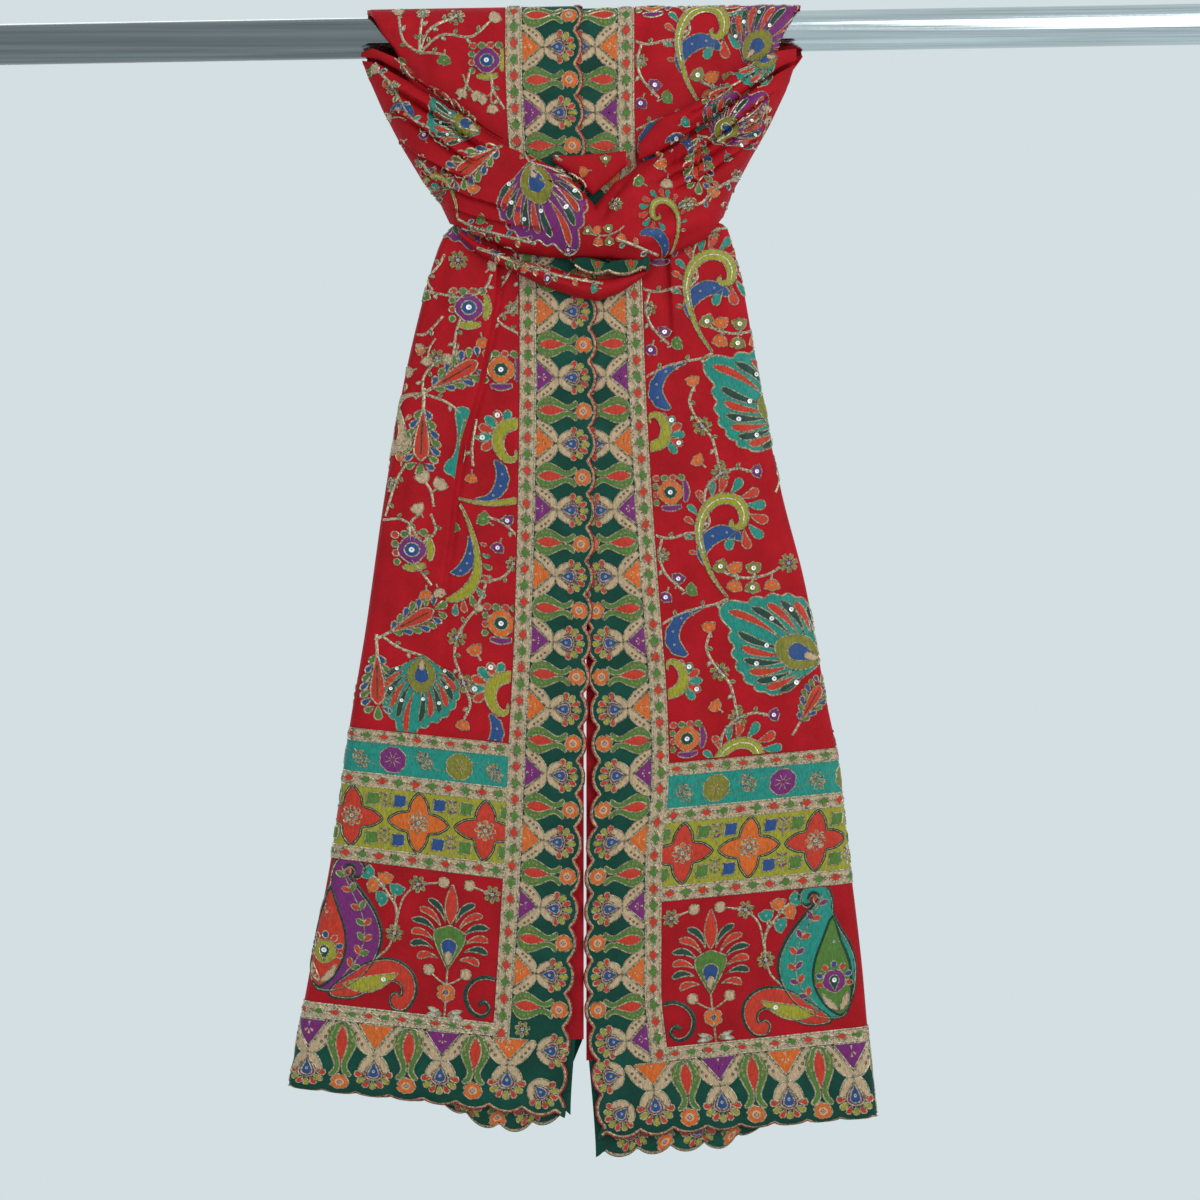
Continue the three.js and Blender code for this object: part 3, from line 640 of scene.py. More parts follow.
def roll_points(top, bottom, columns, turns, back_y, bulge, turn_lines=None):
    """A roll of gathered cloth between a top and a bottom line, bulging forward."""
    across = columns[:, None]
    angle = turns[None, :]
    part = (1 - np.cos(angle)) / 2
    top_x, top_z = along_line(top, across)
    bottom_x, bottom_z = along_line(bottom, across)
    x = mix(top_x, bottom_x, part)
    z = mix(top_z, bottom_z, part)
    for line, end, weight in turn_lines(across) if turn_lines else ():
        turn_x, turn_z = along_line(line, part)
        start_x, start_z = along_line(top, end)
        end_x, end_z = along_line(bottom, end)
        x = x + weight * (turn_x - mix(start_x, end_x, part))
        z = z + weight * (turn_z - mix(start_z, end_z, part))
    y = back_y(across) - bulge(across) * np.sin(angle) + 0 * x
    return np.stack([x, y, z], axis=-1)


def crease_grid(points, facing, creases):
    height = crease_height(points[..., 0], points[..., 2], creases, BAND_CREASE_STRENGTH)
    return points + grid_normals(points, facing) * height[..., None]


def band_sheet(name, points, creases, material, cut_size):
    points = crease_grid(points, BAND_FACING, creases)
    sheet(f"{name}_cloth", [name], points, even_cut(points, *cut_size), BAND_FACING, material,
          "red_field_cloth")
    return points, BAND_FACING


def away_from_turns(across):
    return 1 - np.abs(1 - 2 * across) ** TURN_SHARPNESS


def add_band(material):
    """The rolls and folds of the band, as grids with the side that each faces."""
    def main_turns(across):
        return ((BAND_LEFT_TURN, 0, (1 - across) ** 3), (BAND_RIGHT_TURN, 1, across ** 3))

    fine_ends = np.concatenate([np.linspace(0, 0.06, 14), np.linspace(0.07, 0.93, 172),
                                np.linspace(0.94, 1, 14)])
    half_turn = np.linspace(0, math.pi, 86)
    grids = [band_sheet("band_main_roll", roll_points(
        BAND_TOP_EDGE, BAND_BOTTOM_EDGE, fine_ends, half_turn,
        lambda across: mix(TURN_Y, BAND_BACK_Y, away_from_turns(across)),
        lambda across: MAIN_BULGE * np.sin(math.pi * across) ** 0.8, main_turns,
    ), BAND_CREASES, material, (340, 150))]
    small_turn = np.linspace(0, math.pi, 26)
    grids.append(band_sheet("band_lower_roll", roll_points(
        LOWER_ROLL_TOP, LOWER_ROLL_BOTTOM, np.linspace(0, 1, 70), small_turn,
        lambda across: LOWER_ROLL_BACK_Y,
        lambda across: mix(3, LOWER_BULGE, np.sin(math.pi * across)),
    ), LOWER_ROLL_CREASES, material, (150, 35)))
    grids.append(band_sheet("band_left_upper_fold", roll_points(
        LEFT_FOLD_TOP, LEFT_FOLD_BOTTOM, np.linspace(0, 1, 60), small_turn,
        lambda across: mix(BAND_BACK_Y, TURN_Y, (1 - across) ** 9),
        lambda across: UPPER_BULGE * np.sin(math.pi * mix(0.05, 0.9, across)),
    ), UPPER_FOLD_CREASES[2:], material, (125, 20)))
    grids.append(band_sheet("band_right_upper_fold", roll_points(
        RIGHT_FOLD_TOP, RIGHT_FOLD_BOTTOM, np.linspace(0, 1, 70), small_turn,
        lambda across: mix(BAND_BACK_Y, TURN_Y, across ** 9),
        lambda across: UPPER_BULGE * np.sin(math.pi * mix(0.1, 0.95, across)),
    ), UPPER_FOLD_CREASES[:2], material, (140, 25)))
    grids.append(band_sheet("band_inner_fold", roll_points(
        INNER_FOLD_TOP, INNER_FOLD_BOTTOM, np.linspace(0, 1, 40), small_turn,
        lambda across: BAND_BACK_Y, lambda across: 3 + 0 * across,
    ), (), material, (57, 25)))
    return grids


def add_edge_strip(material):
    """The scalloped border that shows between the two rolls of the band, and its tucked-in part."""
    strip = EDGE_STRIP
    span = strip["x_end"] - strip["x_start"]
    distance = stations(0, span, 1.5)[:, None]
    share = np.linspace(-0.8, 1, 12)[None, :]
    sag = 4 * np.sin(math.pi * distance / span)
    x = strip["x_start"] + distance + 0 * share
    z = strip["top"] - sag - share * (strip["drop"] - scallop_inset(distance) * 0.6)
    y = strip["y_front"] + 2 * share + 0.5 * np.sin(distance / 5) + 0 * x
    points = np.stack([x, y, z], axis=-1)
    sheet("band_scalloped_edge_cloth", ["band_scalloped_edge"], points, points[..., ::2], BAND_FACING,
          material, "green_border_cloth")
    return points


# Embroidery drawn flat

PAINTED_THREAD_SHADE = 0.74  # painted shade: every thread is darkened evenly below its dye, standing for the shade in its hollows
THREADS = {name: srgb(*values, PAINTED_THREAD_SHADE) for name, values in {
    "red": (186, 24, 34), "red_orange": (204, 50, 22), "orange": (222, 104, 26), "lime": (164, 158, 34),
    "olive": (132, 128, 34), "leaf": (82, 124, 42), "dark": (14, 66, 54), "teal": (18, 142, 126),
    "blue": (32, 74, 134), "purple": (122, 28, 112), "cream": (204, 172, 136), "white": (255, 255, 252),
    "gold": (206, 192, 160), "silver": (206, 204, 190), "shade": (84, 92, 74),
}.items()}
LAYERS = ("fill", "cord", "bead")
FILL_SPACING = 3.2
CORD_SPACING = 2.6
FILL_LIFT, LEVEL_LIFT, PILLOW = 0.35, 0.3, 0.3
STEM_WIDTH, OUTLINE_WIDTH = 2.1, 1.25
SEQUIN_RADIUS, SEQUIN_HOLE = 1.9, 0.5


def flat(*points):
    """Complex numbers from x and y pairs."""
    return np.array([complex(x, y) for x, y in points])


def resampled(path, spacing, closed=False):
    if closed:
        path = np.append(path, path[0])
    lengths = np.concatenate([[0], np.cumsum(np.abs(np.diff(path)))])
    count = max(3 if closed else 1, round(lengths[-1] / spacing))
    at = np.linspace(0, lengths[-1], count + 1)
    points = np.interp(at, lengths, path.real) + 1j * np.interp(at, lengths, path.imag)
    return points[:-1] if closed else points


def spline(points, closed=False, steps=6):
    """A smooth curve through points."""
    points = np.asarray(points, complex)
    if closed:
        around = np.concatenate([points[-1:], points, points[:2]])
    else:
        around = np.concatenate([[2 * points[0] - points[1]], points, [2 * points[-1] - points[-2]]])
    part = np.linspace(0, 1, steps, endpoint=False)[None, :]
    a, b, c, d = (around[index:len(around) - 3 + index][:, None] for index in range(4))
    curve = 0.5 * (2 * b + (c - a) * part + (2 * a - 5 * b + 4 * c - d) * part ** 2
                   + (3 * b - a - 3 * c + d) * part ** 3)
    curve = curve.ravel()
    return curve if closed else np.append(curve, points[-1])


def ellipse(centre, across, up, turn=0, count=14):
    angle = np.linspace(0, 2 * math.pi, count, endpoint=False)
    upright = across * np.cos(angle) + 1j * up * np.sin(angle)
    return centre + upright * cmath.exp(1j * math.radians(turn))


def leaf(start, stop, width, bend=0.0, widest=0.45, count=7):
    """A leaf pointed at both ends, its midrib bent aside by a share of its length."""
    share = np.linspace(0, 1, count)
    span = stop - start
    rib = start + span * (share + 1j * bend * 4 * share * (1 - share))
    shape = np.sin(math.pi * share ** (math.log(0.5) / math.log(widest)))
    aside = 1j * span / abs(span) * width / 2 * shape
    return np.concatenate([rib - aside, (rib + aside)[-2:0:-1]])


def teardrop(point, end, width, bend=0.0, count=8):
    """A drop of thread, pointed at one end and round at the other."""
    share = np.linspace(0, 1, count)
    span = end - point
    rib = point + span * (share + 1j * bend * 4 * share * (1 - share))
    shape = share * np.sqrt(1 - share ** 4) / 0.62
    aside = 1j * span / abs(span) * width / 2 * shape
    return np.concatenate([rib - aside, (rib + aside)[-2:0:-1]])


def lobed(centre, lobes, radius, depth, turn=0, steps=5):
    angle = np.linspace(0, 2 * math.pi, lobes * steps, endpoint=False)
    reach = radius * (1 - depth * (1 - np.abs(np.sin(lobes * angle / 2))))
    return centre + reach * np.exp(1j * (angle + math.radians(turn)))


def ribbon(path, widths, teeth=0):
    """A strip round a path of changing width, with teeth cut along its right side."""
    curve = spline(path)
    share = np.linspace(0, 1, len(curve))
    half = np.interp(share, np.linspace(0, 1, len(widths)), widths) / 2
    aside = 1j * np.gradient(curve)
    aside /= np.abs(aside)
    cut = 1 + 0.35 * (np.abs(np.sin(math.pi * teeth * share)) - 0.5) if teeth else 1
    return np.concatenate([curve - aside * half * cut, (curve + aside * half)[::-1]])


def inner_points(outline, spacing):
    """A grid of points well inside an outline, and how far each lies from it."""
    x = np.arange(outline.real.min(), outline.real.max(), spacing)
    y = np.arange(outline.imag.min(), outline.imag.max(), spacing * 0.87)
    grid = x[None, :] + 1j * y[:, None]
    grid[1::2] += spacing / 2
    grid = grid.ravel()
    if not len(grid):
        return grid, grid.real
    first, second = outline[None, :], np.roll(outline, -1)[None, :]
    here = grid[:, None]
    crosses = (first.imag > here.imag) != (second.imag > here.imag)
    rise = np.where(second.imag == first.imag, 1, second.imag - first.imag)
    at = first.real + (here.imag - first.imag) * (second.real - first.real) / rise
    inside = (crosses & (here.real < at)).sum(axis=1) % 2 == 1
    span = second - first
    part = clamp01(((here - first) * np.conj(span)).real / np.maximum(np.abs(span) ** 2, 1e-9))
    distance = np.abs(here - first - part * span).min(axis=1)
    keep = inside & (distance > 0.42 * spacing)
    return grid[keep], distance[keep]


def bridged(rows, count, closed):
    """Triangles between rows of points that follow each other, each row with a count of points."""
    index = np.arange(count)
    after = np.roll(index, -1)
    if not closed:
        index, after = index[:-1], after[:-1]
    faces = []
    for near in range(0, (rows - 1) * count, count):
        far = near + count
        faces.append(np.stack([index + near, after + near, after + far], axis=1))
        faces.append(np.stack([index + near, after + far, index + far], axis=1))
    return np.concatenate(faces)


def circle(centre, radius, count):
    return centre + radius * np.exp(2j * math.pi * np.arange(count) / count)


class Stamp:
    """Embroidery as small flat meshes: filled patches, cords, and beads with sequins."""

    def __init__(self):
        self.parts = {layer: [] for layer in LAYERS}

    def add(self, layer, points, height, colour, faces):
        points = np.asarray(points, complex)
        colours = np.broadcast_to(np.asarray(colour, float), (len(points), 3))
        heights = np.broadcast_to(np.asarray(height, float), (len(points),))
        self.parts[layer].append((points, heights, colours, np.asarray(faces)))

    def put(self, stamp, at=0j, turn=0, size=1.0, mirror=False):
        """A copy of another stamp, mirrored left to right, then sized, turned by degrees and moved."""
        spin = size * cmath.exp(1j * math.radians(turn))
        for layer, parts in stamp.parts.items():
            for points, heights, colours, faces in parts:
                points = -np.conj(points) if mirror else points
                faces = faces[:, ::-1] if mirror else faces
                self.parts[layer].append((at + points * spin, heights, colours, faces))

    def patch(self, outline, thread, level=0, outlined=True, pillow=PILLOW, spacing=FILL_SPACING):
        """A closed outline filled with satin thread, raised a little in its middle."""
        outline = resampled(np.asarray(outline, complex), spacing, True)
        inside, distance = inner_points(outline, spacing)
        points = np.concatenate([outline, inside])
        vectors = [Vector((point.real, point.imag)) for point in points]
        filled = delaunay_2d_cdt(vectors, [], [list(range(len(outline)))], 1, 1e-5)
        base = FILL_LIFT + LEVEL_LIFT * level
        sources = [min(group) if group else 0 for group in filled[3]]
        rise = np.concatenate([np.zeros(len(outline)), pillow * smooth(distance / 2.4)])
        faces = [face for face in filled[2] if len(face) == 3]
        if faces:
            self.add("fill", [complex(*place) for place in filled[0]], base + rise[sources],
                     THREADS[thread], faces)
        if outlined:
            self.cord(outline, OUTLINE_WIDTH, level, closed=True)

    def cord(self, path, width=STEM_WIDTH, level=0, closed=False, thread="gold", height=0.6):
        """A couched cord along a path, round on top."""
        path = resampled(np.asarray(path, complex), CORD_SPACING, closed)
        if len(path) < 2:
            return
        around = np.concatenate([path[-1:], path, path[:1]]) if closed else path
        direction = np.gradient(around)[1:-1] if closed else np.gradient(path)
        aside = 1j * direction / np.maximum(np.abs(direction), 1e-9) * width / 2
        count = len(path)
        points = np.concatenate([path - aside, path, path + aside])
        base = FILL_LIFT + LEVEL_LIFT * level
        heights = np.repeat([base - 0.1, base + height, base - 0.1], count)
        self.add("cord", points, heights, THREADS[thread], bridged(3, count, closed))

    def ring(self, centre, radius=1.05, level=0, thread="silver"):
        """A small raised ring of bead or knotted thread."""
        base = FILL_LIFT + LEVEL_LIFT * level
        circles = [circle(centre, share * radius, 6) for share in (1, 0.68, 0.3)]
        heights = np.repeat([base, base + 0.75, base + 0.2], 6)
        self.add("bead", np.concatenate(circles), heights, THREADS[thread], bridged(3, 6, True))

    def sequin(self, centre, level=1):
        """A flat white sequin with a hole in its middle."""
        base = FILL_LIFT + LEVEL_LIFT * level
        points = np.concatenate([circle(centre, radius, 10) for radius in (SEQUIN_RADIUS, SEQUIN_HOLE)])
        self.add("bead", points, np.repeat([base + 0.9, base + 0.6], 10), THREADS["white"],
                 bridged(2, 10, True))

    def pair(self, outline, thread, level=0):
        """A patch and its mirror image from left to right."""
        self.patch(-np.conj(outline), thread, level)
        self.patch(outline, thread, level)


# Small motifs, drawn upright with their own origin

def daisy(radius=8.2, petals=7):
    stamp = Stamp()
    for index in range(petals):
        tip = cmath.exp(2j * math.pi * (index + 0.25) / petals)
        stamp.patch(leaf(0.28 * radius * tip, radius * tip, 0.56 * radius, widest=0.62), "olive", 0)
    stamp.patch(ellipse(0, 0.3 * radius, 0.3 * radius, count=8), "blue", 1, False)
    stamp.ring(0j, 1.5, 1)
    return stamp


def bud(thread, size=10.5):
    """A bud with three points on a short stem."""
    stamp = Stamp()
    outline = flat((0, 0), (-0.42, 0.12), (-0.5, 0.42), (-0.62, 0.8), (-0.26, 0.72), (0, 1.02),
                   (0.26, 0.72), (0.62, 0.8), (0.5, 0.42), (0.42, 0.12)) * size
    stamp.patch(outline, thread)
    stamp.cord(flat((0, -0.45), (0, 0.1)) * size, 1.7)
    if thread in ("purple", "olive"):
        stamp.sequin(0.45j * size)
    else:
        stamp.ring(0.45j * size, 1.2)
    return stamp


def sprig(stem, buds):
    """A stem with buds, each at a point with a direction in degrees and a thread."""
    stamp = Stamp()
    stamp.cord(spline(stem))
    for at, turn, thread in buds:
        stamp.put(bud(thread), at, turn)
    return stamp


def leafy_stem(stamp, points, threads, spacing=11, length=5.5):
    """A stem with small leaves on alternate sides."""
    curve = spline(points)
    stamp.cord(curve)
    nodes = resampled(curve, spacing)
    for index in range(1, len(nodes) - 1):
        way = nodes[index + 1] - nodes[index - 1]
        way *= cmath.exp(1j * (0.95 if index % 2 else -0.95)) / abs(way)
        root = nodes[index] + 0.8 * way
        stamp.patch(leaf(root, root + length * way, 0.55 * length), threads[index % len(threads)])


def petals_outside(stamp, path, share_start, share_stop, count, lengths, threads):
    """Petals that stand on the left side of a path, leaning forward."""
    curve = spline(path)
    tangent = np.gradient(curve)
    tangent /= np.abs(tangent)
    for index in range(count):
        part = index / (count - 1)
        at = int(mix(share_start, share_stop, part) * (len(curve) - 1))
        length = mix(lengths[0], lengths[1], math.sin(math.pi * min(1, 0.15 + 0.85 * part) * 0.62) ** 1.5)
        out = 1j * tangent[at] * cmath.exp(-0.45j)
        root = curve[at] + 1j * tangent[at] * 3.4
        petal = teardrop(root, root + out * length, 0.46 * length, -0.08)
        stamp.patch(petal, threads[index % len(threads)])


HOOK_PATH = flat((0, 0), (-11, 18), (-17, 37), (-19, 53), (-15, 67), (-7, 76), (3, 79), (12.5, 76),
                 (17, 67), (16, 58.5), (10, 55), (6, 58.5), (9, 62))
HOOK_WIDTHS = (1.2, 2.5, 4, 5.5, 7, 8, 8.5, 8.5, 8, 6, 4, 2.5, 1)


def hook():
    """A stem that arches over into a curl, with petals along its back."""
    stamp = Stamp()
    petals_outside(stamp, HOOK_PATH, 0.18, 0.84, 14, (7, 17), ("red_orange", "teal"))
    stamp.patch(ribbon(HOOK_PATH, HOOK_WIDTHS), "lime", 1)
    stamp.cord(spline(HOOK_PATH[2:10]), 1, 2, thread="white", height=0.25)
    return stamp


def small_hook(first_angle):
    """A short curl with six petals round its outside, the first at an angle in degrees."""
    stamp = Stamp()
    for index in range(6):
        way = cmath.exp(1j * math.radians(first_angle - 27 * index))
        root = complex(11, 9) + 5 * way
        stamp.patch(teardrop(root, root + 13 * way, 6.4), ("red_orange", "teal")[index % 2])
        if index % 3 == 1:
            stamp.sequin(root + 9.5 * way)
    path = flat((0, 0), (10, 3), (14.5, 10), (14, 18), (9, 25), (3, 25.5), (1, 21), (4, 18.5))
    stamp.patch(ribbon(path, (7, 9, 8.5, 7, 5, 3, 1.8, 1)), "lime", 1)
    return stamp


def crescent(path, widths):
    """A blue crescent with a toothed outer edge."""
    stamp = Stamp()
    stamp.patch(ribbon(path, widths, teeth=7), "blue")
    curve = spline(path)
    for share in (0.3, 0.5, 0.7):
        stamp.ring(curve[int(share * (len(curve) - 1))], 1.2)
    return stamp


def sickle():
    """A tapering stem that arches upward round a blue crescent, with petals on its outer side."""
    stamp = Stamp()
    path = flat((0, 0), (9, 3), (18.5, 11), (24, 24), (23.5, 39), (19.5, 55), (14, 69), (9, 79))
    petals_outside(stamp, path[::-1], 0.36, 0.9, 8, (6, 12), ("red_orange", "teal", "leaf"))
    stamp.patch(ribbon(path, (2.4, 7, 8.8, 6.6, 4.4, 3, 2, 1)), "lime", 1)
    stamp.put(crescent(flat((3, 23), (10, 24), (16, 31), (18.5, 43), (17, 54)), (1, 8, 9.5, 6, 1.4)))
    return stamp


def feather(length=50):
    """A leaf with a red core and small petals along both sides, its stem at the origin."""
    stamp = Stamp()
    stamp.cord(flat((0, -0.12 * length), (0, 0.2 * length)))
    for index in range(7):
        up = mix(0.16, 0.86, index / 6) * length
        for side in (-1, 1):
            root = complex(side * mix(1, 4.6, math.sin(math.pi * index / 7)), up)
            way = cmath.exp(1j * math.radians(90 - side * mix(34, 62, index / 6)))
            length_out = 6 + 4 * math.sin(math.pi * (index + 1) / 8)
            thread = ("blue", "leaf")[(index + (side > 0)) % 2]
            stamp.patch(teardrop(root, root + way * length_out, 5), thread)
    stamp.patch(teardrop(0.84j * length, 1.04j * length, 6), "leaf")
    stamp.patch(teardrop(0.12j * length, 0.84j * length, 9.5), "red_orange", 1)
    stamp.cord(flat((0, 0.3 * length), (0, 0.74 * length)), 1, 2, thread="shade")
    return stamp


def square_flower(ring_thread, heart_thread, strip_thread):
    """A rounded square of petals and strips round a heart, about 28 across."""
    stamp = Stamp()
    for index in range(4):
        at = complex(-10.5 + 6.5 * index, 11.4)
        stamp.patch(ellipse(at, 3.1, 2.9, count=8), ("red_orange", "leaf")[index % 2])
    for index in range(3):
        at = complex(-11.4, 5 - 6.4 * index)
        stamp.patch(ellipse(at, 2.7, 3, count=8), ("leaf", "red_orange")[index % 2])
    stamp.patch(ribbon(flat((11.5, 9), (12.8, 0), (11, -9)), (3, 5, 3)), strip_thread)
    stamp.patch(ribbon(flat((8, -11.5), (0, -12.8), (-8, -11.5)), (3, 5, 3)), strip_thread)
    stamp.patch(lobed(0, 4, 10.2, 0.16, 45), ring_thread, 1)
    stamp.patch(ellipse(0, 5.2, 5.2, count=10), heart_thread, 2)
    stamp.sequin(0j, 2)
    return stamp


FAN_ANGLES = (-57, -48, -38, -28, -18, -9, 1, 11, 21, 31, 41, 50, 58)
FAN_REACH = (49, 58, 65, 72, 80, 97, 80, 74, 71, 66, 60, 53, 44)


def fan(ground):
    """A spread fan of curved strokes round an eye, its tip at the origin and its axis upward."""
    stamp = Stamp()
    angles = np.linspace(FAN_ANGLES[0], FAN_ANGLES[-1], 92)
    reach = np.interp(angles, FAN_ANGLES, FAN_REACH)
    lobes = np.abs(np.sin(math.pi * (angles - FAN_ANGLES[0]) / 9.6))
    rim = reach * (0.945 + 0.055 * lobes) * 1j * np.exp(1j * np.radians(angles))
    stamp.patch(np.concatenate([[0j], rim]), ground, 0, True, 0.2, 4)
    stamp.cord(rim, 1.7, 0)
    for index, angle in enumerate(np.linspace(-53, 54, 13)):
        length = float(np.interp(angle, FAN_ANGLES, FAN_REACH))
        way = 1j * cmath.exp(1j * math.radians(angle))
        bend = math.copysign(0.07, angle + 5)
        stroke = teardrop(0.4 * length * way, 0.9 * length * way, 6.2, bend)
        stamp.patch(stroke, ("dark", "red_orange")[index % 2], 1)
        if index % 2 == 0:
            stamp.sequin(mix(0.58, 0.74, index % 3 / 2) * length * way * cmath.exp(1j * bend * 0.8), 2)
    collar = flat((0, 3), (-8, 8), (-14, 18), (-13, 29), (-7, 38), (0, 41), (7, 38), (13, 29), (14, 18),
                  (8, 8))
    stamp.patch(spline(collar, True, 3), "olive", 2)
    stamp.patch(teardrop(4j, 31j, 15), "blue", 3)
    stamp.patch(teardrop(3j, 17j, 6), "cream", 4)
    return stamp


# The scalloped border, drawn with its edge upward

def border_blossom():
    """Two cream petals and seven small ones round a blue heart, opening upward."""
    stamp = Stamp()
    stamp.pair(spline(flat((0, 17.6), (5.5, 19), (9.4, 23.5), (10.8, 29.5), (7.4, 29), (5.6, 26),
                           (3.6, 23.4), (0, 21.4)), True, 3), "cream")
    for index, angle in enumerate((6, 34, 62, 90, 118, 146, 174)):
        way = cmath.exp(1j * math.radians(angle))
        stamp.patch(teardrop(29j + 5.5 * way, 29j + 14 * way, 5.2), ("red_orange", "lime")[index % 2])
    stamp.patch(teardrop(20j, 34.5j, 12.5), "purple", 1)
    stamp.patch(teardrop(22j, 33j, 8.4), "blue", 2)
    stamp.ring(28j, 1.3, 2)
    return stamp


def border_flower(triangle):
    """A triangle on the chain band between two cream blades, and a blossom towards the edge."""
    stamp = Stamp()
    stamp.patch(flat((-12.6, 0.8), (12.6, 0.8), (0, 15)), triangle)
    for angle in (30, 90, 150, 270):
        way = cmath.exp(1j * math.radians(angle))
        stamp.patch(leaf(5.2j + 0.6 * way, 5.2j + 4.4 * way, 2.2), "cream", 1, False)
    stamp.pair(flat((0, 18.5), (7, 17.4), (13.5, 12), (17.6, 5), (19, 0.8), (14.6, 0.8), (7.4, 8.6),
                    (0, 16.2)), "cream")
    for side in (-1, 1):
        for x, y in ((9.2, 12), (11.7, 9.3), (13.8, 6.3)):
            stamp.ring(complex(side * x, y), 1.15, 0, "shade")
    stamp.put(border_blossom())
    return stamp


def border_drop():
    """A red drop between two green leaves, and an orange flower towards the edge."""
    stamp = Stamp()
    stamp.pair(spline(flat((0.3, 0.9), (5.5, 1.8), (10.2, 6.5), (10.2, 12.5), (6.8, 19), (4, 24.5),
                           (5.2, 28.6), (9, 31.6), (5.6, 33), (1.9, 30), (0.5, 25), (1.8, 19), (3.8, 13),
                           (3.9, 7), (1.2, 3)), True, 2), "leaf")
    for side in (-1, 1):
        for x, y in ((7, 7), (7.3, 10.2), (6.2, 13.4)):
            stamp.ring(complex(side * x, y), 1.05, 0, "cream")
    stamp.patch(leaf(2.6j, 23.5j, 8.6, widest=0.4), "red_orange", 1)
    stamp.patch(lobed(37.6j, 7, 7.4, 0.3), "orange")
    stamp.patch(ellipse(37.2j, 3.5, 3.5, count=9), "cream", 1, False)
    stamp.patch(ellipse(37.2j, 2.1, 2.1, count=7), "red", 2, False)
    stamp.ring(37.2j, 1.2, 2)
    return stamp


def border_units():
    """The units of a border in their order."""
    return border_flower("orange"), border_drop(), border_flower("purple"), border_drop()


CHAIN_UNIT = 26


def chain_unit(width):
    """One repeat of a chain band: diamonds on a cream ground between two cords, along x."""
    stamp = Stamp()
    stamp.patch(flat((0, 0), (CHAIN_UNIT, 0), (CHAIN_UNIT, width), (0, width)), "cream", 0, False, 0, 3.6)
    middle = width / 2
    for at, thread in ((6.5, "red_orange"), (19.5, "leaf")):
        diamond = flat((at - 4.8, middle), (at, 1.7), (at + 4.8, middle), (at, width - 1.7))
        stamp.patch(diamond, thread, 1)
    for side in (-1, 1):
        wave = [complex(x, middle + side * (0.6 + (middle - 1.9) * math.sin(math.pi * x / 13) ** 2))
                for x in np.linspace(0, CHAIN_UNIT, 11)]
        stamp.cord(wave, 1.3, 1, height=0.35)
        edge = middle + side * (middle - 0.3)
        stamp.cord(flat((0, edge), (CHAIN_UNIT, edge)), 1.5, 1, height=0.45)
    return stamp


# Panel motifs

def round_flower(thread):
    stamp = Stamp()
    stamp.patch(lobed(0, 8, 11, 0.13), thread)
    for index in range(8):
        way = cmath.exp(1j * math.pi * (index + 0.5) / 4)
        stamp.cord([1.5 * way, 6.5 * way], 0.9, 1, thread="cream", height=0.3)
    return stamp


def vine_sprig():
    """Six small leaves on a stem, on the teal strip."""
    stamp = Stamp()
    stamp.cord(flat((0, -7), (0, 7)), 1.3, 0, thread="cream")
    for index, (up, side) in enumerate(((-4, -1), (-4, 1), (0, -1), (0, 1), (4, -1), (4, 1))):
        root = complex(side * 0.8, up)
        thread = ("orange", "cream", "blue")[index % 3]
        stamp.patch(leaf(root, root + complex(side * 5.4, 4), 3.2), thread)
    stamp.patch(leaf(6j, 11.5j, 3.4), "orange")
    return stamp


def four_petals(thread):
    """A flower with four pointed petals inside a dark outline."""
    stamp = Stamp()
    outline = []
    for index in range(4):
        way = 1j ** index
        outline += [way * point for point in (8 - 8j, 15 - 6.5j, 23, 15 + 6.5j)]
    petals = spline(outline, True, 3)
    stamp.patch(petals, thread, 0, False)
    stamp.cord(petals * 1.03, 2.8, 0, True, "dark")
    stamp.cord(petals * 1.03, 1, 1, True, height=0.5)
    for index in range(8):
        way = cmath.exp(1j * math.pi * index / 4)
        stamp.patch(teardrop(1.5 * way, 8.6 * way, 4.4), ("orange", "cream")[index % 2], 1, True)
    stamp.ring(0j, 1.8, 2)
    return stamp


def corner_block(thread):
    stamp = Stamp()
    stamp.patch(flat((-5, -4.6), (0, -5.2), (4.4, -4.4), (5.2, 0), (5.4, 5.2), (0, 4.4), (-4.6, 5),
                     (-4.2, 0)), thread, 1)
    return stamp


def heart_sprig():
    stamp = Stamp()
    stamp.cord(flat((0, -8), (0, 8)), 1.1, 0, thread="silver")
    for up in (-4, 0, 4):
        for side in (-1, 1):
            stamp.patch(leaf(1j * up, complex(side * 4, up + 3), 2.4), "purple" if up else "cream")
    return stamp


LOTUS_PETALS = (  # root x and y, tip x and y
    (4, 19, 19.5, 37), (7, 15, 26, 28.5), (10, 10, 30.5, 19), (12, 4, 31, 9), (12, -2, 31, -1),
    (8, -9, 25, -11),
)


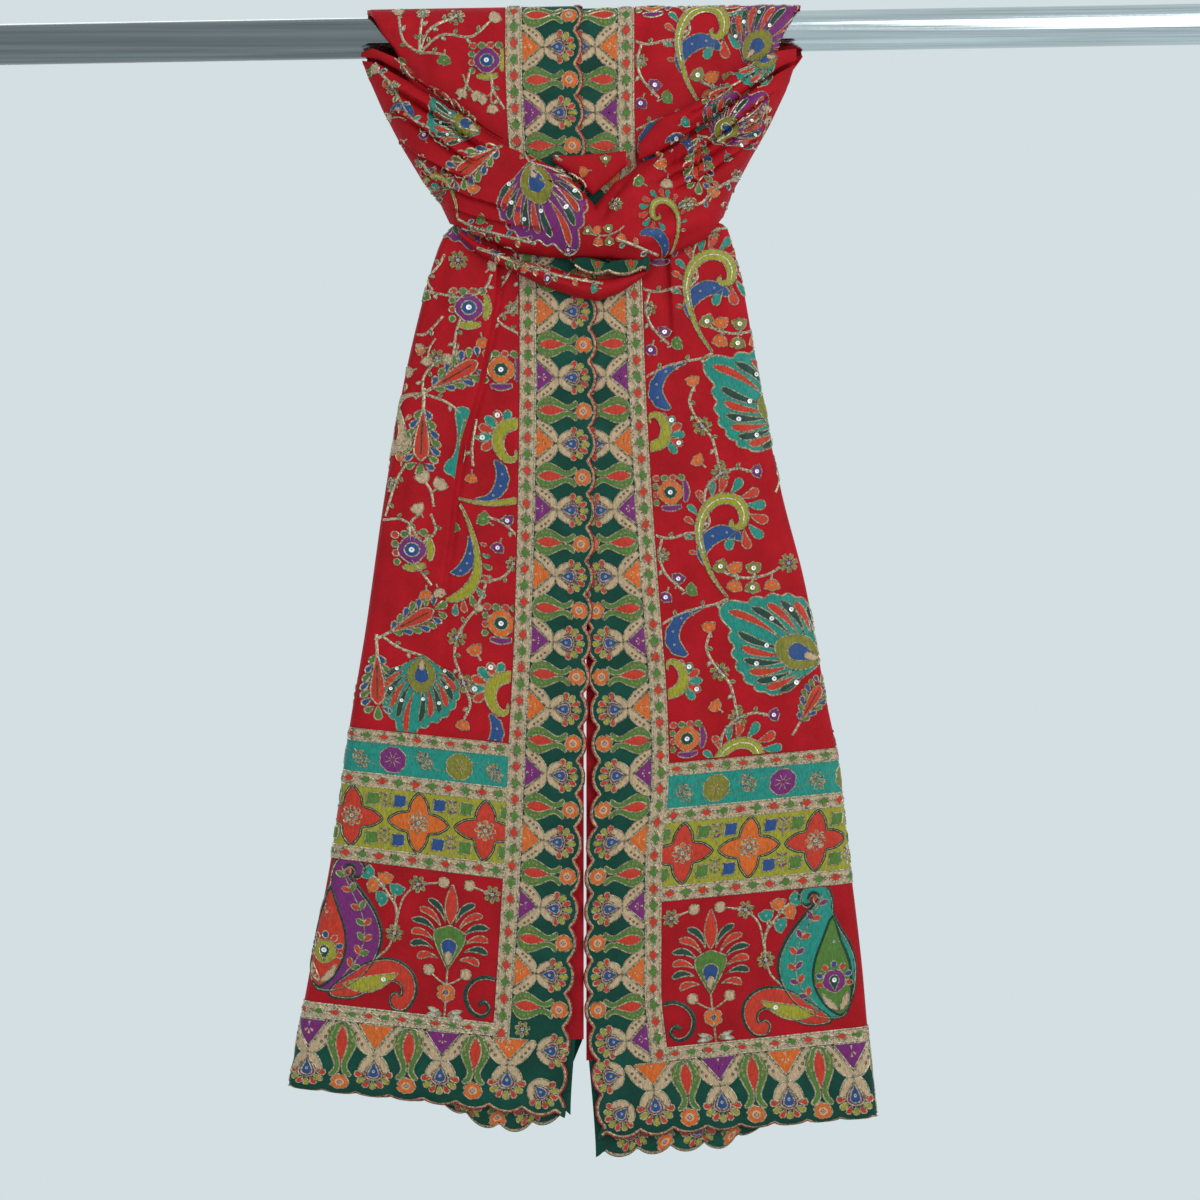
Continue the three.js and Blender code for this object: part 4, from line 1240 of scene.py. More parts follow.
def lotus():
    """A plant with curved petals on both sides of a green calyx, about 115 tall."""
    stamp = Stamp()
    for index, (root_x, root_y, tip_x, tip_y) in enumerate(LOTUS_PETALS):
        for side in (-1, 1):
            root, tip = complex(side * root_x, root_y), complex(side * tip_x, tip_y)
            stamp.patch(teardrop(root, tip, 5.6, side * 0.16), ("dark", "red_orange")[index % 2])
    stamp.patch(leaf(18j, 51j, 10), "red_orange")
    stamp.patch(teardrop(-17j, 18j, 25), "leaf", 1)
    stamp.patch(teardrop(-14j, 8j, 12.5), "blue", 2)
    stamp.patch(teardrop(-14j, -2j, 5.6), "cream", 3)
    for side in (-1, 1):
        stamp.cord(spline(flat((0, -29), (side * 6, -26), (side * 13, -21))), 1.5)
        stamp.patch(lobed(complex(side * 14.5, -19), 4, 4.6, 0.2), "cream")
        for reach, up in ((14, -47), (9, -51), (16, -53)):
            stamp.patch(leaf(complex(side * 2, -51), complex(side * reach, up), 3.4), "silver")
    stamp.cord(flat((0, -17), (0, -54)), 1.6)
    stamp.patch(lobed(-35j, 6, 7.8, 0.3), "orange")
    stamp.patch(ellipse(-35j, 3, 3, count=8), "blue", 1)
    return stamp


PAISLEY_BODY = flat((0, 0), (-18, 2), (-34, 14), (-44, 32), (-46, 50), (-39, 67), (-27, 82), (-17, 93),
                    (-15.5, 99), (-20, 101), (-23.5, 97), (-21, 92.5), (-26, 91.5), (-30.5, 98),
                    (-27, 105.5), (-18, 109), (-9, 105), (-4.5, 94), (-4, 84), (1, 72), (9, 58), (14, 42),
                    (13, 24), (7, 9))
PAISLEY_CORE = flat((-4, 80), (-12, 62), (-18, 45), (-18.5, 28), (-11, 10), (0, 1.5), (8, 10),
                    (10.5, 26), (9, 44), (2, 62))
PAISLEY_RIB = flat((-12, 98), (-19, 82), (-30, 62), (-33, 44), (-29, 27), (-18, 11))


def paisley(body, core, heart):
    """A tall paisley that leans and curls to the left, with a leafy sprig and a nested drop."""
    stamp = Stamp()
    outline = spline(PAISLEY_BODY, True, 3)
    stamp.patch(outline, body, 0, False, 0.2, 4)
    stamp.cord(outline, 2.6, 0, True, "dark")
    stamp.cord(outline * 0.975, 1, 1, True)
    inner = spline(PAISLEY_CORE, True, 3)
    stamp.patch(inner, core, 1, False, 0.25, 4)
    stamp.cord(inner, 2.2, 1, True, "dark")
    second_thread = "purple" if body == "teal" else "leaf"
    rib = spline(PAISLEY_RIB)
    stamp.cord(rib, 1.1, 1)
    for index in range(3, len(rib) - 1, 4):
        way = (rib[index + 1] - rib[index - 1]) / abs(rib[index + 1] - rib[index - 1])
        for side in (-1, 1):
            tip = rib[index] - way * 9 * cmath.exp(1j * side * 0.8)
            thread = ("red_orange", second_thread)[(index // 4 + side) // 2 % 2]
            stamp.patch(leaf(rib[index], tip, 5.2), thread, 1)
    stamp.put(daisy(6.5, 6), complex(-3, 60))
    for index in range(7):
        way = 1j * cmath.exp(1j * math.radians(-105 + 35 * index))
        at = complex(-3, 30) + 12 * way
        petal = ellipse(at, 3.2, 2.6, math.degrees(cmath.phase(way)), 8)
        stamp.patch(petal, ("red_orange", "blue")[index % 2], 2)
    stamp.patch(lobed(complex(-3, 29), 5, 9.6, 0.12, 90), heart, 2)
    stamp.patch(teardrop(complex(-3, 21), complex(-3, 34), 8.5), "dark", 3)
    for side in (-1, 1):
        stamp.patch(leaf(complex(-1, 5), complex(-3 + side * 10, 21), 5, side * -0.1), "cream", 2)
    stamp.sequin(complex(-3, 30), 3)
    return stamp


def curled_leaf():
    """A leaf that curls at its left end, its tip at the origin on the right."""
    stamp = Stamp()
    body = flat((0, 0), (-14, 14), (-32, 27), (-50, 30), (-64, 22), (-68, 8), (-62, -5), (-52, -6.5),
                (-48, 0), (-52, 5), (-56.5, 2.5), (-57, 10), (-49, 14), (-38, 9), (-22, -1), (-8, -3))
    outline = spline(body, True, 3)
    stamp.patch(outline, "red_orange", 0, False)
    stamp.cord(outline, 2.6, 0, True, "dark")
    stamp.cord(outline * 0.97 - 1, 1, 1, True)
    stamp.patch(leaf(complex(-10, 6), complex(-54, 21), 12, 0.09), "lime", 1)
    stamp.sequin(complex(-42, 14), 1)
    return stamp


def scroll():
    """A dark green scroll that grows out of the border."""
    stamp = Stamp()
    path = spline(flat((0, 0), (10, 0.5), (19, -5), (23, -15), (18, -26), (9, -29), (3.5, -23), (8, -18),
                       (12, -21)))
    stamp.cord(path, 3.4, 0, thread="dark", height=0.8)
    stamp.cord(path * 0.93 - 1j, 1, 1)
    return stamp


# Embroidery laid on the cloth

DEEPEST_STEP = 5  # embroidery isn't drawn across a deeper step between folds
BLOCKS = {"fill": "thread_fill", "cord": "metal_cord", "bead": "bead_and_sequin"}


def gathered(parts, clamp=None):
    """One mesh from a stamp's parts, each part clamped to its side of a line first."""
    points, heights, colours, faces = [], [], [], []
    count = 0
    for part_points, part_heights, part_colours, part_faces in parts:
        if not len(part_faces):
            continue
        points.append(clamp(part_points) if clamp else part_points)
        heights.append(part_heights)
        colours.append(part_colours)
        faces.append(part_faces + count)
        count += len(part_points)
    return tuple(np.concatenate(values) for values in (points, heights, colours, faces))


def sew(name, stamp, surface, materials, slot, clamp=None, deepest_step=None):
    """Lays a stamp on a surface, which gives places, normals and what it missed for flat points."""
    for layer, parts in stamp.parts.items():
        if not parts:
            continue
        points, heights, colours, faces = gathered(parts, clamp)
        places, normals, found = surface(points)
        places = places + normals * heights[:, None]
        corners = points[faces]
        first, second = corners[:, 1] - corners[:, 0], corners[:, 2] - corners[:, 0]
        keep = found[faces].all(axis=1) & (np.abs((np.conj(first) * second).imag) > 0.02)
        if deepest_step:
            keep &= np.ptp(places[faces][:, :, 1], axis=1) < deepest_step
        faces = faces[keep]
        used, renumbered = np.unique(faces, return_inverse=True)
        new_object(f"{name}_{BLOCKS[layer]}", places[used], renumbered.reshape(-1, 3),
                   materials[layer], slot, None, colours[used])


def end_surface(end, inside=False):
    """The surface of an end for flat points whose x grows to the right and y upward on its front."""
    side = end["side"]

    def surface(points):
        s, t = side * points.real, -points.imag
        here = end_point(end, s, t, inside)
        along = end_point(end, s + 0.4, t, inside) - end_point(end, s - 0.4, t, inside)
        down = end_point(end, s, t + 0.4, inside) - end_point(end, s, t - 0.4, inside)
        normals = np.cross(down, along) * side
        normals /= np.linalg.norm(normals, axis=1, keepdims=True)
        return here, normals, np.ones(len(points), bool)
    return surface


def around_length(end, t):
    size = fold_sizes(end, np.asarray(t, float), False)
    return size["front"] + size["bend"] + size["back"]


PLEAT_REACH = (160, 420)  # depths between which embroidery keeps off the pleat's step
OFF_STEP_OUTSIDE, OFF_STEP_INSIDE = 1.4, 3
OFF_BACK_EDGE = 1.5


def inside_region(end, low_s, low_t, high_t, pleated=False):
    """Keeps flat points within a stretch of an end, and on one side of the pleat's step."""
    def clamp(points):
        s, t = end["side"] * points.real, -points.imag
        t = np.clip(t, low_t, high_t)
        s = np.clip(s, low_s, around_length(end, t) - OFF_BACK_EDGE)
        if pleated:
            line = end["side"] * (pleat_line(end, t) - section(end, t)["x_inner"])
            outer = s.mean() > line.mean()
            kept = (np.maximum(s, line + OFF_STEP_OUTSIDE) if outer
                    else np.minimum(s, line - OFF_STEP_INSIDE))
            s = np.where((t > PLEAT_REACH[0]) & (t < PLEAT_REACH[1]), kept, s)
        return end["side"] * s - 1j * t
    return clamp


def on_sheet(end, s, t):
    return end["side"] * s - 1j * t


def put_at(stamp, end, motif, s, t, turn=0, size=1.0, mirror=False):
    stamp.put(motif, on_sheet(end, s, t), turn, size, mirror)


# The borders

EDGE_CORD = {"width": 2.1, "thread": "cream", "height": 0.8}
RAW_THREADS = {"width": 1.2, "thread": "red", "height": 0.3}
EDGE_CORD_INSET, RAW_THREADS_INSET = 1.7, 0.3
EDGE_SPACING = 1.6
SIDE_CHAIN = 12  # width of the chain band at the root of the side border


def side_border_stamp(end):
    """Units down the scalloped side, each turned so that its edge faces the middle of the garment."""
    stamp = Stamp()
    side = end["side"]
    top, bottom = end["rows"][0][0], end["hem"]
    units = border_units()
    for index in range(math.ceil((top - 10) / PITCH), int((bottom - HEM + 2) / PITCH)):
        put_at(stamp, end, units[index % 4], BORDER - SIDE_CHAIN, (index + 0.5) * PITCH, 90 * side)
    chain = chain_unit(SIDE_CHAIN)
    for index in range(int((bottom - top) / CHAIN_UNIT)):
        at = bottom - HEM + 7 - index * CHAIN_UNIT
        stamp.put(chain, on_sheet(end, BORDER - SIDE_CHAIN if side < 0 else BORDER, at), 90)
    return stamp


def add_side_edge(stamp, end):
    """A cord on the scalloped side edge, and red threads on the raw edge."""
    t = stations(end["rows"][0][0] + 1, end["hem"] - 9, EDGE_SPACING)
    s = scallop_inset(t)
    stamp.cord(on_sheet(end, s + EDGE_CORD_INSET, t), **EDGE_CORD)
    stamp.cord(on_sheet(end, s + RAW_THREADS_INSET, t), **RAW_THREADS)


def border_stamp(end):
    """The side border with its edge, and two blossoms in the corner."""
    stamp = side_border_stamp(end)
    add_side_edge(stamp, end)
    side, bottom = end["side"], end["hem"]
    blossom = border_blossom()
    put_at(stamp, end, blossom, 40, bottom - 40, 180 - 45 * side)
    put_at(stamp, end, blossom, 43, bottom - (49 if side > 0 else 52), 90 * side)
    if side < 0:
        put_at(stamp, end, daisy(6.6), 38, bottom - 66)
    return stamp


def hem_stamp(end, stop):
    """Units along the hem from the corner on, with its edge."""
    stamp = Stamp()
    units = border_units()
    start = BORDER - PITCH
    root = PANEL_ROWS[end["name"]]["chains"][-1][1] - 0.5
    for index in range(int((stop - start) / PITCH)):
        put_at(stamp, end, units[index % 4], start + (index + 0.5) * PITCH, root, 180, 1.12)
    s = stations(4, stop, EDGE_SPACING)
    t = end["hem"] - hem_inset(s)
    stamp.cord(on_sheet(end, s, t - EDGE_CORD_INSET), **EDGE_CORD)
    stamp.cord(on_sheet(end, s, t - RAW_THREADS_INSET), **RAW_THREADS)
    return stamp


def inner_hem_stamp(end, stop):
    stamp = Stamp()
    units = border_units()
    for index in range(int(stop / PITCH)):
        put_at(stamp, end, units[index % 4], 8 + (index + 0.5) * PITCH, end["hem"] - 45, 180)
    s = stations(0, stop, EDGE_SPACING)
    stamp.cord(on_sheet(end, s, end["hem"] - EDGE_CORD_INSET), **EDGE_CORD)
    return stamp


def across_chain(stamp, end, start, stop, low, high):
    """A chain band across an end between two depths."""
    chain = chain_unit(high - low)
    for index in range(int((stop - start) / CHAIN_UNIT) + 1):
        s = start + index * CHAIN_UNIT
        put_at(stamp, end, chain, s if end["side"] > 0 else s + CHAIN_UNIT, high)


# The panel

# Depths of the chain bands and, between them, of the teal strip, the lime strip and the square
PANEL_ROWS = {
    "left": {
        "chains": ((564, 574), (599, 610), (659, 670), (783, 792)),
        "teal": (574, 599), "lime": (610, 659), "square": (670, 784),
    },
    "right": {
        "chains": ((579, 589), (615, 626), (676, 687), (802, 812)),
        "teal": (589, 615), "lime": (626, 676), "square": (687, 802),
    },
}
STRIP_REPEAT = 52
SQUARE_REPEAT = 340
SQUARE_STEMS = (  # s, and t from the top of the square
    ((68, 14), (86, 9)), ((106, 9), (126, 13)), ((126, 13), (137, 26), (142, 54)),
    ((142, 54), (146, 66), (155, 76)),
)


def strip_ground(stamp, end, low, high, stop, thread):
    """A plain strip of thread across an end between two depths, in patches of up to 30 mm."""
    at = BORDER
    while at < stop:
        far = min(at + 30, stop)
        corners = [on_sheet(end, s, t) for s, t in ((at, high), (far, high), (far, low), (at, low))]
        stamp.patch(corners if end["side"] > 0 else corners[::-1], thread, 0, False, 0, 3.6)
        at = far


def add_teal_strip(stamp, end, stop):
    """Round flowers and leafy sprigs by turns, along a waving cream thread."""
    low, high = PANEL_ROWS[end["name"]]["teal"]
    strip_ground(stamp, end, low, high, stop, "teal")
    middle = (low + high) / 2
    flowers = (round_flower("olive"), round_flower("purple"))
    leaves = vine_sprig()
    for index in range(int((stop - BORDER) / STRIP_REPEAT) + 1):
        s = BORDER + 38 + index * STRIP_REPEAT
        put_at(stamp, end, flowers[index % 2], s, middle)
        put_at(stamp, end, leaves, s - 26, middle, 35 if index % 2 else -145)
        wave = [on_sheet(end, s - 41 + step, middle + 5 * math.sin(math.pi * (step + 11) / 26))
                for step in range(0, 31, 3)]
        stamp.cord(wave, 1.1, -1, thread="cream", height=0.5)


def add_lime_strip(stamp, end, stop):
    """Four-petalled flowers with a block at each corner, and sprigs between them."""
    low, high = PANEL_ROWS[end["name"]]["lime"]
    strip_ground(stamp, end, low, high, stop, "lime")
    middle = (low + high) / 2
    petals = (four_petals("red_orange"), four_petals("orange"))
    blocks = (corner_block("leaf"), corner_block("blue"))
    leaves = heart_sprig()
    for index in range(int((stop - BORDER) / STRIP_REPEAT) + 1):
        s = BORDER + 16 + index * STRIP_REPEAT
        put_at(stamp, end, petals[index % 2], s, middle)
        for up in (-1, 1):
            for aside in (-1, 1):
                put_at(stamp, end, blocks[index % 2], s + aside * 15.5, middle + up * 15.5)
            put_at(stamp, end, leaves, s + 26, middle + up * 14)


def panel_strips(end, stop):
    stamp = Stamp()
    for low, high in PANEL_ROWS[end["name"]]["chains"]:
        across_chain(stamp, end, BORDER, stop, low, high)
    add_teal_strip(stamp, end, stop)
    add_lime_strip(stamp, end, stop)
    return stamp


def square_motifs(end):
    """The motifs of a red square as stamp, s and t."""
    top, bottom = PANEL_ROWS[end["name"]]["square"]
    threads = ("teal", "leaf", "purple") if end["side"] > 0 else ("purple", "red_orange", "lime")
    buds = sprig(flat((0, -50), (-1, -36), (1, -27), (8, -18), (14, -11), (20, -7)), (
        (1 - 20j, 10, "teal"), (10 - 12j, 5, "orange"), (19 - 7j, -60, "teal"),
        (14 - 14j, -90, "orange"), (7 - 22j, -110, "teal")))
    flower = daisy(7.6)
    cream = Stamp()
    cream.patch(lobed(0, 4, 4.6, 0.22), "cream")
    return (
        (lotus(), 99, top + 60), (scroll(), 61, bottom - 34), (flower, 68, top + 14),
        (flower, 126, top + 13), (cream, 86, top + 9), (cream, 106, top + 9), (flower, 142, top + 54),
        (buds, 142, top + 4), (curled_leaf(), 190, bottom - 9),
        (paisley(*threads), 198, bottom - 10),
    )


def square_stamp(end, stop):
    """The motifs of the red square, repeated as mirror images round the back."""
    stamp = Stamp()
    top = PANEL_ROWS[end["name"]]["square"][0]
    motifs = square_motifs(end)

    def place(s, repeat, flipped):
        return (SQUARE_REPEAT - (s - BORDER) + BORDER if flipped else s) + repeat * SQUARE_REPEAT

    for repeat in range(2):
        for flipped in (False, True):
            for motif, s, t in motifs:
                at = place(s, repeat, flipped)
                if -20 < at < stop + 60:  # the others begin well beyond the cloth
                    put_at(stamp, end, motif, at, t, mirror=(end["side"] < 0) != flipped)
            for line in SQUARE_STEMS:
                stem = [on_sheet(end, place(s, repeat, flipped), top + t) for s, t in line]
                stamp.cord(spline(stem), 1.6)
    return stamp


# The fields

# Rows of motif, s and t, with turn and size where they aren't the usual 0 and 1
RIGHT_CELL = (
    ("hook", 114, 84), ("crescent_up", 97, 57), ("bud_row", 112, 63), ("daisy", 163, 59),
    ("bud_purple", 75, 70, -20, 0.9), ("bud_leaf", 82, 77, -70, 0.9), ("bud_purple", 67, 76, 160, 0.9),
    ("daisy_small", 65, 47), ("fan_teal", 185, 140, 66), ("crescent_down", 94, 91),
    ("small_hook", 60, 157), ("bud_orange", 98, 110, 10, 0.9), ("daisy", 103, 142), ("daisy", 115, 180),
    ("bud_orange", 101, 172, 45, 0.9), ("bud_purple", 139, 180, -90, 0.9),
    ("feather", 160, 193, -32, 0.95), ("square_orange", 75, 193),
)
RIGHT_STEMS = (
    ((60, 31), (72, 34), (86, 31), (94, 31)), ((66, 34), (63, 47), (66, 60), (74, 70), (80, 76)),
    ((61, 101), (76, 94), (92, 90), (104, 88), (114, 84)), ((98, 110), (94, 122), (98, 134), (103, 142)),
    ((103, 142), (110, 152), (113, 166), (115, 180)), ((115, 180), (128, 177), (139, 180)),
    ((115, 180), (104, 190), (101, 204), (104, 218), (97, 226)),
)
LEFT_FIELD = (
    ("daisy", 108, 181), ("square_purple", 100, 219, 0, 1.15), ("sprig_fork", 126, 244, 150, 0.8),
    ("bud_cream", 84, 188, -50, 0.9), ("bud_leaf", 135, 205, 175, 0.9),
    ("sprig_fork", 108, 248, 170, 0.8), ("daisy", 125, 260, 0, 0.95), ("bud_orange", 90, 243, 190, 0.9),
    ("bud_orange", 137, 257, 10, 0.7), ("bud_cream", 144, 270, 110, 0.8), ("daisy_small", 66, 219),
    ("square_orange", 75, 268, 0, 1.1), ("feather", 136, 289, -58, 1.22),
    ("feather", 135, 292, 178, 1.25), ("curl", 136, 289, 0, 1.1), ("fan_slice", 106, 303, 0, 1.05),
    ("small_hook_left", 60, 310, 0, 1.15), ("crescent_left", 95, 372), ("lime_stem", 109, 372),
    ("bud_orange", 97, 352, 175, 0.8), ("bud_orange", 152, 345, 0, 0.8),
    ("daisy_small", 159, 363, 0, 0.9), ("bud_purple", 67, 392, 20, 0.9),
    ("bud_purple", 74, 406, 160, 0.9), ("bud_leaf", 83, 390, 60), ("sickle", 115, 455),
    ("square_purple", 142, 416, 8, 1.15), ("daisy_small", 63, 422), ("square_orange", 71, 470, 0, 1.1),
    ("feather", 163, 488, -58, 1.12), ("feather", 167, 494, 184, 1.2),
    ("fan_teal_left", 131, 500, 0, 0.76), ("daisy", 105, 484), ("daisy", 98, 520),
    ("bud_orange", 88, 497, 30), ("bud_orange", 96, 549, 170, 0.9), ("bud_cream", 90, 462, -20, 0.7),
    ("bud_orange", 130, 448, 180, 0.9), ("bud_cream", 121, 446, 200, 0.8),
    ("bud_cream", 136, 386, 30, 0.9), ("sprig_fork", 126, 380, 10), ("bud_leaf", 110, 392, 180, 0.8),
    ("small_hook_left", 60, 511, 0, 1.15), ("crescent_left", 92, 574), ("square_purple", 75, 23, 0, 1.05),
    ("bud_leaf", 108, 18, 175, 0.9), ("bud_cream", 72, -8, -50, 0.9), ("daisy", 99, -12, 0, 0.9),
    ("daisy_small", 125, -16, 0, 0.9), ("bud_leaf", 144, 25, 40, 0.6), ("sprig_fork", 94, 34, 200, 0.8),
    ("sprig_fork", 70, 42, 165, 0.8), ("bud_cream", 143, -14, 20, 0.8),
)
LEFT_STEMS = (
    ((150, 205), (138, 196), (126, 188), (118, 176)),
    ((150, 205), (128, 207), (104, 211), (88, 204), (82, 192)),
    ((62, 173), (66, 186), (76, 202), (87, 208)), ((64, 176), (60, 200), (64, 219)),
    ((64, 219), (78, 228), (60, 240)), ((106, 226), (110, 240), (112, 258)),
    ((120, 226), (133, 240), (141, 241)), ((112, 258), (125, 262)), ((125, 262), (135, 275), (136, 289)),
    ((136, 289), (118, 295), (106, 304)), ((94, 308), (97, 330), (96, 346)),
    ((148, 346), (156, 362), (164, 390)), ((84, 386), (72, 390), (58, 402)),
    ((166, 393), (150, 392), (140, 402), (142, 416)), ((128, 386), (124, 400), (134, 410)),
    ((136, 386), (144, 396), (142, 416)), ((63, 424), (72, 434), (88, 438)),
    ((142, 424), (132, 436), (126, 444)), ((163, 488), (150, 496), (132, 501)),
    ((105, 484), (98, 470), (92, 462)), ((105, 484), (106, 500), (98, 520)),
    ((98, 520), (92, 536), (96, 548)), ((92, 462), (86, 448), (84, 438)),
    ((128, 16), (120, -2), (99, -12)), ((128, 16), (110, 2), (88, 4), (74, -6)),
    ((128, 16), (118, 16), (108, 18)), ((128, 16), (127, 0), (125, -16)),
    ((128, 16), (140, 6), (144, -12)), ((88, 30), (92, 44), (98, 54)), ((72, 34), (70, 48), (62, 62)),
)
LEFT_BEHIND_BAND = (  # on the back only
    ("fan_purple", 112, 112, 170, 0.7), ("daisy", 66, 96), ("bud_orange", 72, 128, 20, 0.9),
    ("feather", 92, 120, 150, 0.9), ("bud_leaf", 62, 152, 120, 0.9), ("daisy_small", 92, 168),
)
RIGHT_OVER_ROD = (("fan_purple", 146, 27, -40, 0.74),)


def bud_row():
    """Six buds along a level stem."""
    return sprig(flat((0, 0), (9, -4), (20, -6), (34, -4), (44, 1)), (
        (1 + 1j, 40, "olive"), (10 - 2j, 12, "orange"), (9 - 7j, 165, "orange"),
        (24 - 3j, 5, "olive"), (22 - 9j, 175, "olive"), (37 - 8j, 178, "orange")))


def curl():
    """A cream stem that curls down to the left, with petals on its outer side."""
    stamp = Stamp()
    path = flat((0, 0), (-14, -3), (-23, -16), (-26, -32), (-20, -42), (-12, -40), (-10, -31), (-15, -27))
    petals_outside(stamp, path[::-1], 0.35, 0.9, 6, (5, 7), ("leaf", "orange"))
    stamp.patch(ribbon(path, (1, 2.4, 4, 6, 7, 6, 4, 2)), "cream")
    return stamp


def fan_slice():
    """The part of a fan that shows beside a square flower, hanging down."""
    stamp = Stamp()
    outline = flat((-4, 2), (7, 2), (6, -14), (6, -30), (2, -44), (7, -52), (3, -60), (-4, -50),
                   (-12, -46), (-10, -38), (-5, -34), (-2, -18))
    stamp.patch(spline(outline, True, 3), "teal")
    stamp.patch(leaf(3 - 4j, -34j, 4), "leaf", 1)
    stamp.patch(teardrop(2 - 20j, -4 - 44j, 5, 0.1), "dark", 1)
    return stamp


def lime_stem():
    stamp = Stamp()
    stamp.patch(ribbon(flat((0, 0), (17, -3), (32, -2.5), (49, 0.5)), (1.4, 2.6, 4, 5.5)), "lime", 1)
    return stamp


def turned_over(motif):
    """A motif turned by half a circle."""
    stamp = Stamp()
    stamp.put(motif, turn=180)
    return stamp


CRESCENTS = {  # path, and widths along it
    "crescent_up": (((0, 0), (-1, 10), (4, 19), (14, 25), (25, 23.5), (32, 18)), (0.6, 8, 12, 12, 9, 3)),
    "crescent_down": (
        ((0, 0), (-12, -3), (-22, -11), (-26, -22), (-22, -31), (-15, -36)), (0.6, 5, 9, 11, 10, 3)),
    "crescent_left": (
        ((0, 0), (11, 1), (18.5, 7), (22, 16), (20.5, 25), (15, 32)), (0.6, 5, 9, 10.5, 8, 2)),
}


def field_motifs():
    """The motifs of the fields and the band by name."""
    buds = {f"bud_{thread}": bud(thread)
            for thread in ("purple", "leaf", "orange", "cream", "teal", "olive")}
    crescents = {name: crescent(flat(*path), widths) for name, (path, widths) in CRESCENTS.items()}
    return {
        "hook": hook(), "bud_row": bud_row(), "daisy": daisy(), "daisy_small": daisy(6.6),
        "fan_teal": fan("teal"), "fan_purple": fan("purple"), "fan_teal_left": turned_over(fan("teal")),
        "small_hook": small_hook(82), "small_hook_left": turned_over(small_hook(35)),
        "sickle": sickle(), "lime_stem": lime_stem(), "feather": feather(), "curl": curl(),
        "sprig_fork": sprig(flat((0, 0), (0, 12), (-3, 20)), (
            (-3 + 20j, 20, "cream"), (4 + 14j, -50, "cream"))),
        "fan_slice": fan_slice(), "square_orange": square_flower("orange", "dark", "purple"),
        "square_purple": square_flower("purple", "blue", "lime"), **buds, **crescents,
    }


def fold_middle(end, t):
    """Distance from the inner edge to the middle of the outer fold."""
    size = fold_sizes(end, np.asarray(t, float), False)
    return float(size["front"] + size["bend"] / 2)


def add_rows(stamp, end, motifs, rows, stems, across=0, down=0, flipped=False):
    """Motifs and stems from tables, moved along the cloth, or mirrored round the outer fold."""
    def place(s, t):
        return 2 * fold_middle(end, t) - s if flipped else across + s

    def put_row(name, s, t, turn=0, size=1.0):
        put_at(stamp, end, motifs[name], place(s, t), t + down, -turn if flipped else turn, size, flipped)

    for row in rows:
        put_row(*row)
    for line in stems:
        leafy_stem(stamp, [on_sheet(end, place(s, t), t + down) for s, t in line], ("silver", "leaf"))


def right_field_stamp(motifs):
    stamp = Stamp()
    for column in range(3):
        for step in range(5):
            down = -217 + 195 * step + 97 * (column % 2)
            add_rows(stamp, RIGHT, motifs, RIGHT_CELL, RIGHT_STEMS, 134 * column, down)
    add_rows(stamp, RIGHT, motifs, RIGHT_OVER_ROD, ())
    return stamp


def left_field_stamp(motifs):
    stamp = Stamp()
    add_rows(stamp, LEFT, motifs, LEFT_FIELD, LEFT_STEMS)
    add_rows(stamp, LEFT, motifs, LEFT_FIELD + LEFT_BEHIND_BAND, LEFT_STEMS, flipped=True)
    return stamp


# The band's embroidery, drawn as it is seen and laid on what it meets

# Rows of motif, x and z, with turn and size as above, and True where the motif is mirrored
BAND_FRONT = (
    ("fan_teal", -82, -85, 53, 0.6), ("feather", -60, -90, 124, 1.18),
    ("fan_purple", -43, -106, -163, 0.86, True), ("hook", -99, -149, 36, 0.5, True),
    ("bud_orange", -107, -93, 10, 0.85), ("bud_orange", -88, -131, -20, 0.85),
    ("bud_row", 4, -163, 12, 0.62), ("sprig_fork", -137, -72, 70, 0.7),
    ("daisy_small", -150, -47, 0, 0.9), ("bud_cream", -161, -33, 60, 0.7),
    ("daisy_small", -128, -104, 0, 0.8), ("bud_teal", -116, -121, 160, 0.7),
    ("bud_leaf", -141, -88, 120, 0.7), ("feather", -104, -126, 100, 0.5),
    ("fan_purple", 102, -93, -35, 0.62), ("feather", 88, -80, 180), ("hook", 64, -181, 4, 0.56, True),
    ("crescent_up", 60, -180, -14, 0.66, True), ("bud_purple", 72, -90, 20, 0.85),
    ("bud_orange", 61, -112, 30, 0.85), ("bud_orange", 98, -133, -20, 0.85),
    ("daisy_small", 119, -116, 0, 0.9), ("sprig_fork", 132, -78, -40, 0.7),
    ("bud_leaf", 45, -124, 60, 0.8), ("daisy_small", 80, -139, 0, 0.9),
    ("bud_cream", 112, -136, 150, 0.7), ("fan_teal", 150, -22, 106, 0.5), ("feather", 118, -44, 120, 0.6),
    ("crescent_up", 62, -90, -60, 0.6), ("bud_teal", 75, -76, -60, 0.7),
    ("daisy_small", 24, -140, 0, 0.9), ("bud_orange", 2, -112, 100, 0.7), ("bud_olive", 16, -106, 0, 0.7),
    ("feather", -146, -26, -130, 0.5), ("bud_purple", -112, -57, -130, 0.6),
    ("bud_leaf", -92, -71, -130, 0.6), ("feather", -30, -190, 68, 0.5), ("bud_teal", 10, -204, 90, 0.6),
    ("crescent_up", -72, -180, -40, 0.5), ("bud_leaf", -56, -184, 120, 0.6),
    ("bud_cream", 64, -120, 170, 0.8), ("feather", -96, -156, -112, 0.5),
    ("bud_leaf", -78, -152, 60, 0.7), ("bud_purple", -124, -88, 20, 0.7),
    ("bud_leaf", -168, -31, 150, 0.6), ("crescent_up", -152, -66, -50, 0.5),
    ("bud_orange", 12, -186, 100, 0.6), ("bud_purple", -10, -174, 80, 0.6),
    ("feather", 140, -62, 140, 0.5), ("bud_teal", 110, -100, 200, 0.6),
    ("bud_purple", -26, -196, 100, 0.6), ("bud_orange", -44, -190, 60, 0.6),
)
